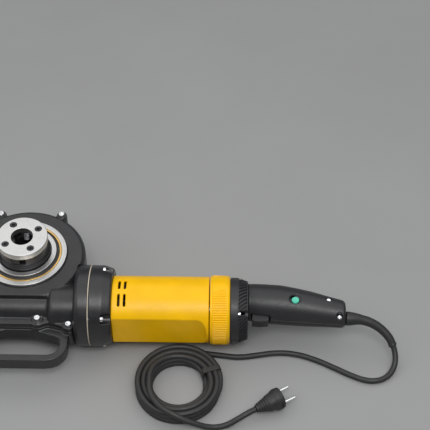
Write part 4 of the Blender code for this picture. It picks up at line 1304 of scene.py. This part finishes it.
def grip_half(name, sign):
    shell = grip_body(name, 0.0, 319.3, 455.5)
    hollow = grip_body("hollow", GRIP_WALL, 317.0, 441.0)
    x, y, _ = GRIP_SCREWS[0]
    px, py = TRIGGER_PIVOT
    low, high = sorted((sign * 7.6, sign * 30.0))
    cut(hollow, rod("boss", 5.0, -30, 30, 32, at=(x, y, 0)))
    cut(hollow, rod("pin_boss", 4.0, low, high, 32, at=(px, py, 0)))
    cut(shell, hollow)
    low, high = sorted((-sign * 40.0, sign * GAP))
    cut(shell, box("split", (300, -110, low), (480, 0, high)))
    cut(shell, box("trigger_slot", (324, -110, -7.3), (350.5, -70, 7.3)))
    cut(shell, rod("pin_hole", 1.8, -11.5, 11.5, 24, at=(px, py, 0)))
    for x, y, top in GRIP_SCREWS:
        cut(shell, rod("screw_hole", 1.9, -12, 30, 24, at=(x, y, 0)))
        if sign > 0:
            cut(shell, rod("recess", 4.1, top - 3.2, 40, 40, at=(x, y, 0)))
    # the groove where the end collar of the grip starts, and one at the motor's end
    for at, depth in ((449.0, 0.9), (323.5, 0.7)):
        y, radius = between(GRIP_STATIONS, at)
        ring = [(radius + 3, at + 0.7), (radius + 3, at - 0.7)]
        ring += [(radius - depth, at - 0.35), (radius - depth, at + 0.35)]
        cut(shell, turned("line", ring, 96, ALONG_X, (0, y, 0)))
    if sign > 0:
        at = (*BUTTON_AT, 0)
        cut(shell, rod("button_hole", 5.6, 5, 40, 48, at=at))
        dish = [(0, 40), (9.6, 40), (9.0, 25.4), (7.4, 24.0), (0, 24.0)]
        cut(shell, turned("button_dish", dish, 64, at=at))
    return soften(shell, 0.7, 3)


def trigger():
    px, py = TRIGGER_PIVOT
    outline = [
        (325.5, -80.0, 1.0),
        (325.3, -93.2, 2.0),
        (335.0, -94.4, 8.0),
        (347.6, -93.0, 2.5),
        (348.5, -81.5, 1.0),
        (355.0, -80.5, 1.0),
        (355.5, -77.5, 1.0),
        (353.5, -75.5, 1.0),
        (340.0, -75.5, 1.0),
        (328.0, -77.0, 1.0),
    ]
    made = plate("shown_trigger", outline, -6.6, 6.6)
    cut(made, rod("pin_bore", 1.9, -8, 8, 24, at=(px, py, 0)))
    ribs = [box("rib", (328.6 + 3.9 * i, -100, -5.0), (329.8 + 3.9 * i, -93.3, 5.0)) for i in range(5)]
    cut(made, *ribs)
    return round_edges(made, 0.9, 3)


def safety_button():
    profile = [(0, 25.4), (2.6, 25.5), (4.4, 26.0, 0.4), (5.2, 25.4, 0.6)]
    profile += [(5.2, 18.0), (7.4, 18.0), (7.4, 16.0), (0, 16.0)]
    return turned("shown_button", profile, 64, at=(*BUTTON_AT, 0))


finish_piece(grip_half("shown_grip_upper", 1), "black_plastic", ("grip_upper",), even=False, angle=180)
finish_piece(grip_half("shown_grip_lower", -1), "black_plastic", ("grip_lower",), even=False, angle=180)
finish_piece(trigger(), "black_plastic", ("trigger",), "trigger_lever")
finish_piece(safety_button(), "teal_plastic", ("safety_button",), "release_button")


# CAD nodes that stay

for row in frame["record"]["subparts"]:
    node = row["node"]
    kept = frame["nodes"][node]
    for place in kept.material_slots:
        place.material = LOOKS[SHAFTS.get(node, row["material_slot"])]


# Floor and light


def add_floor():
    size = 4000
    corners = [(-size, -size, FLOOR), (size, -size, FLOOR), (size, size, FLOOR), (-size, size, FLOOR)]
    floor = new_mesh("floor", corners, [(0, 1, 2, 3)])
    g = Graph("floor", (0.30, 0.30, 0.30), 0.6, 0.0)
    g.set("Base Color", g.mixed(g.ranged(g.noise(3, 3), 0.0, 1.0), (0.29, 0.29, 0.29), (0.31, 0.31, 0.31)))
    floor.data.materials.append(g.material)


def add_light(name, place, target, width, depth, power, colour=(1, 1, 1)):
    data = bpy.data.lights.new(name, "AREA")
    data.shape = "RECTANGLE"
    data.size = width
    data.size_y = depth
    data.energy = power
    data.color = colour
    look_at(add_object(name, data), RING + Vector(place) * MM, RING + Vector(target) * MM)


add_floor()
add_light("overhead", (150, 400, 2000), (150, 400, 0), 5.0, 4.6, 72)
add_light("key", (500, -1400, 2500), (150, -60, 0), 1.5, 1.0, 33)
add_light("left", (-1900, -500, 1100), (100, -50, 0), 1.4, 1.4, 5)
world = bpy.data.worlds.new("room")
world.use_nodes = True
world.node_tree.nodes["Background"].inputs["Color"].default_value = (0.9, 0.95, 1.0, 1)
world.node_tree.nodes["Background"].inputs["Strength"].default_value = 0.08
bpy.context.scene.world = world
bpy.context.scene.view_settings.view_transform = "Standard"
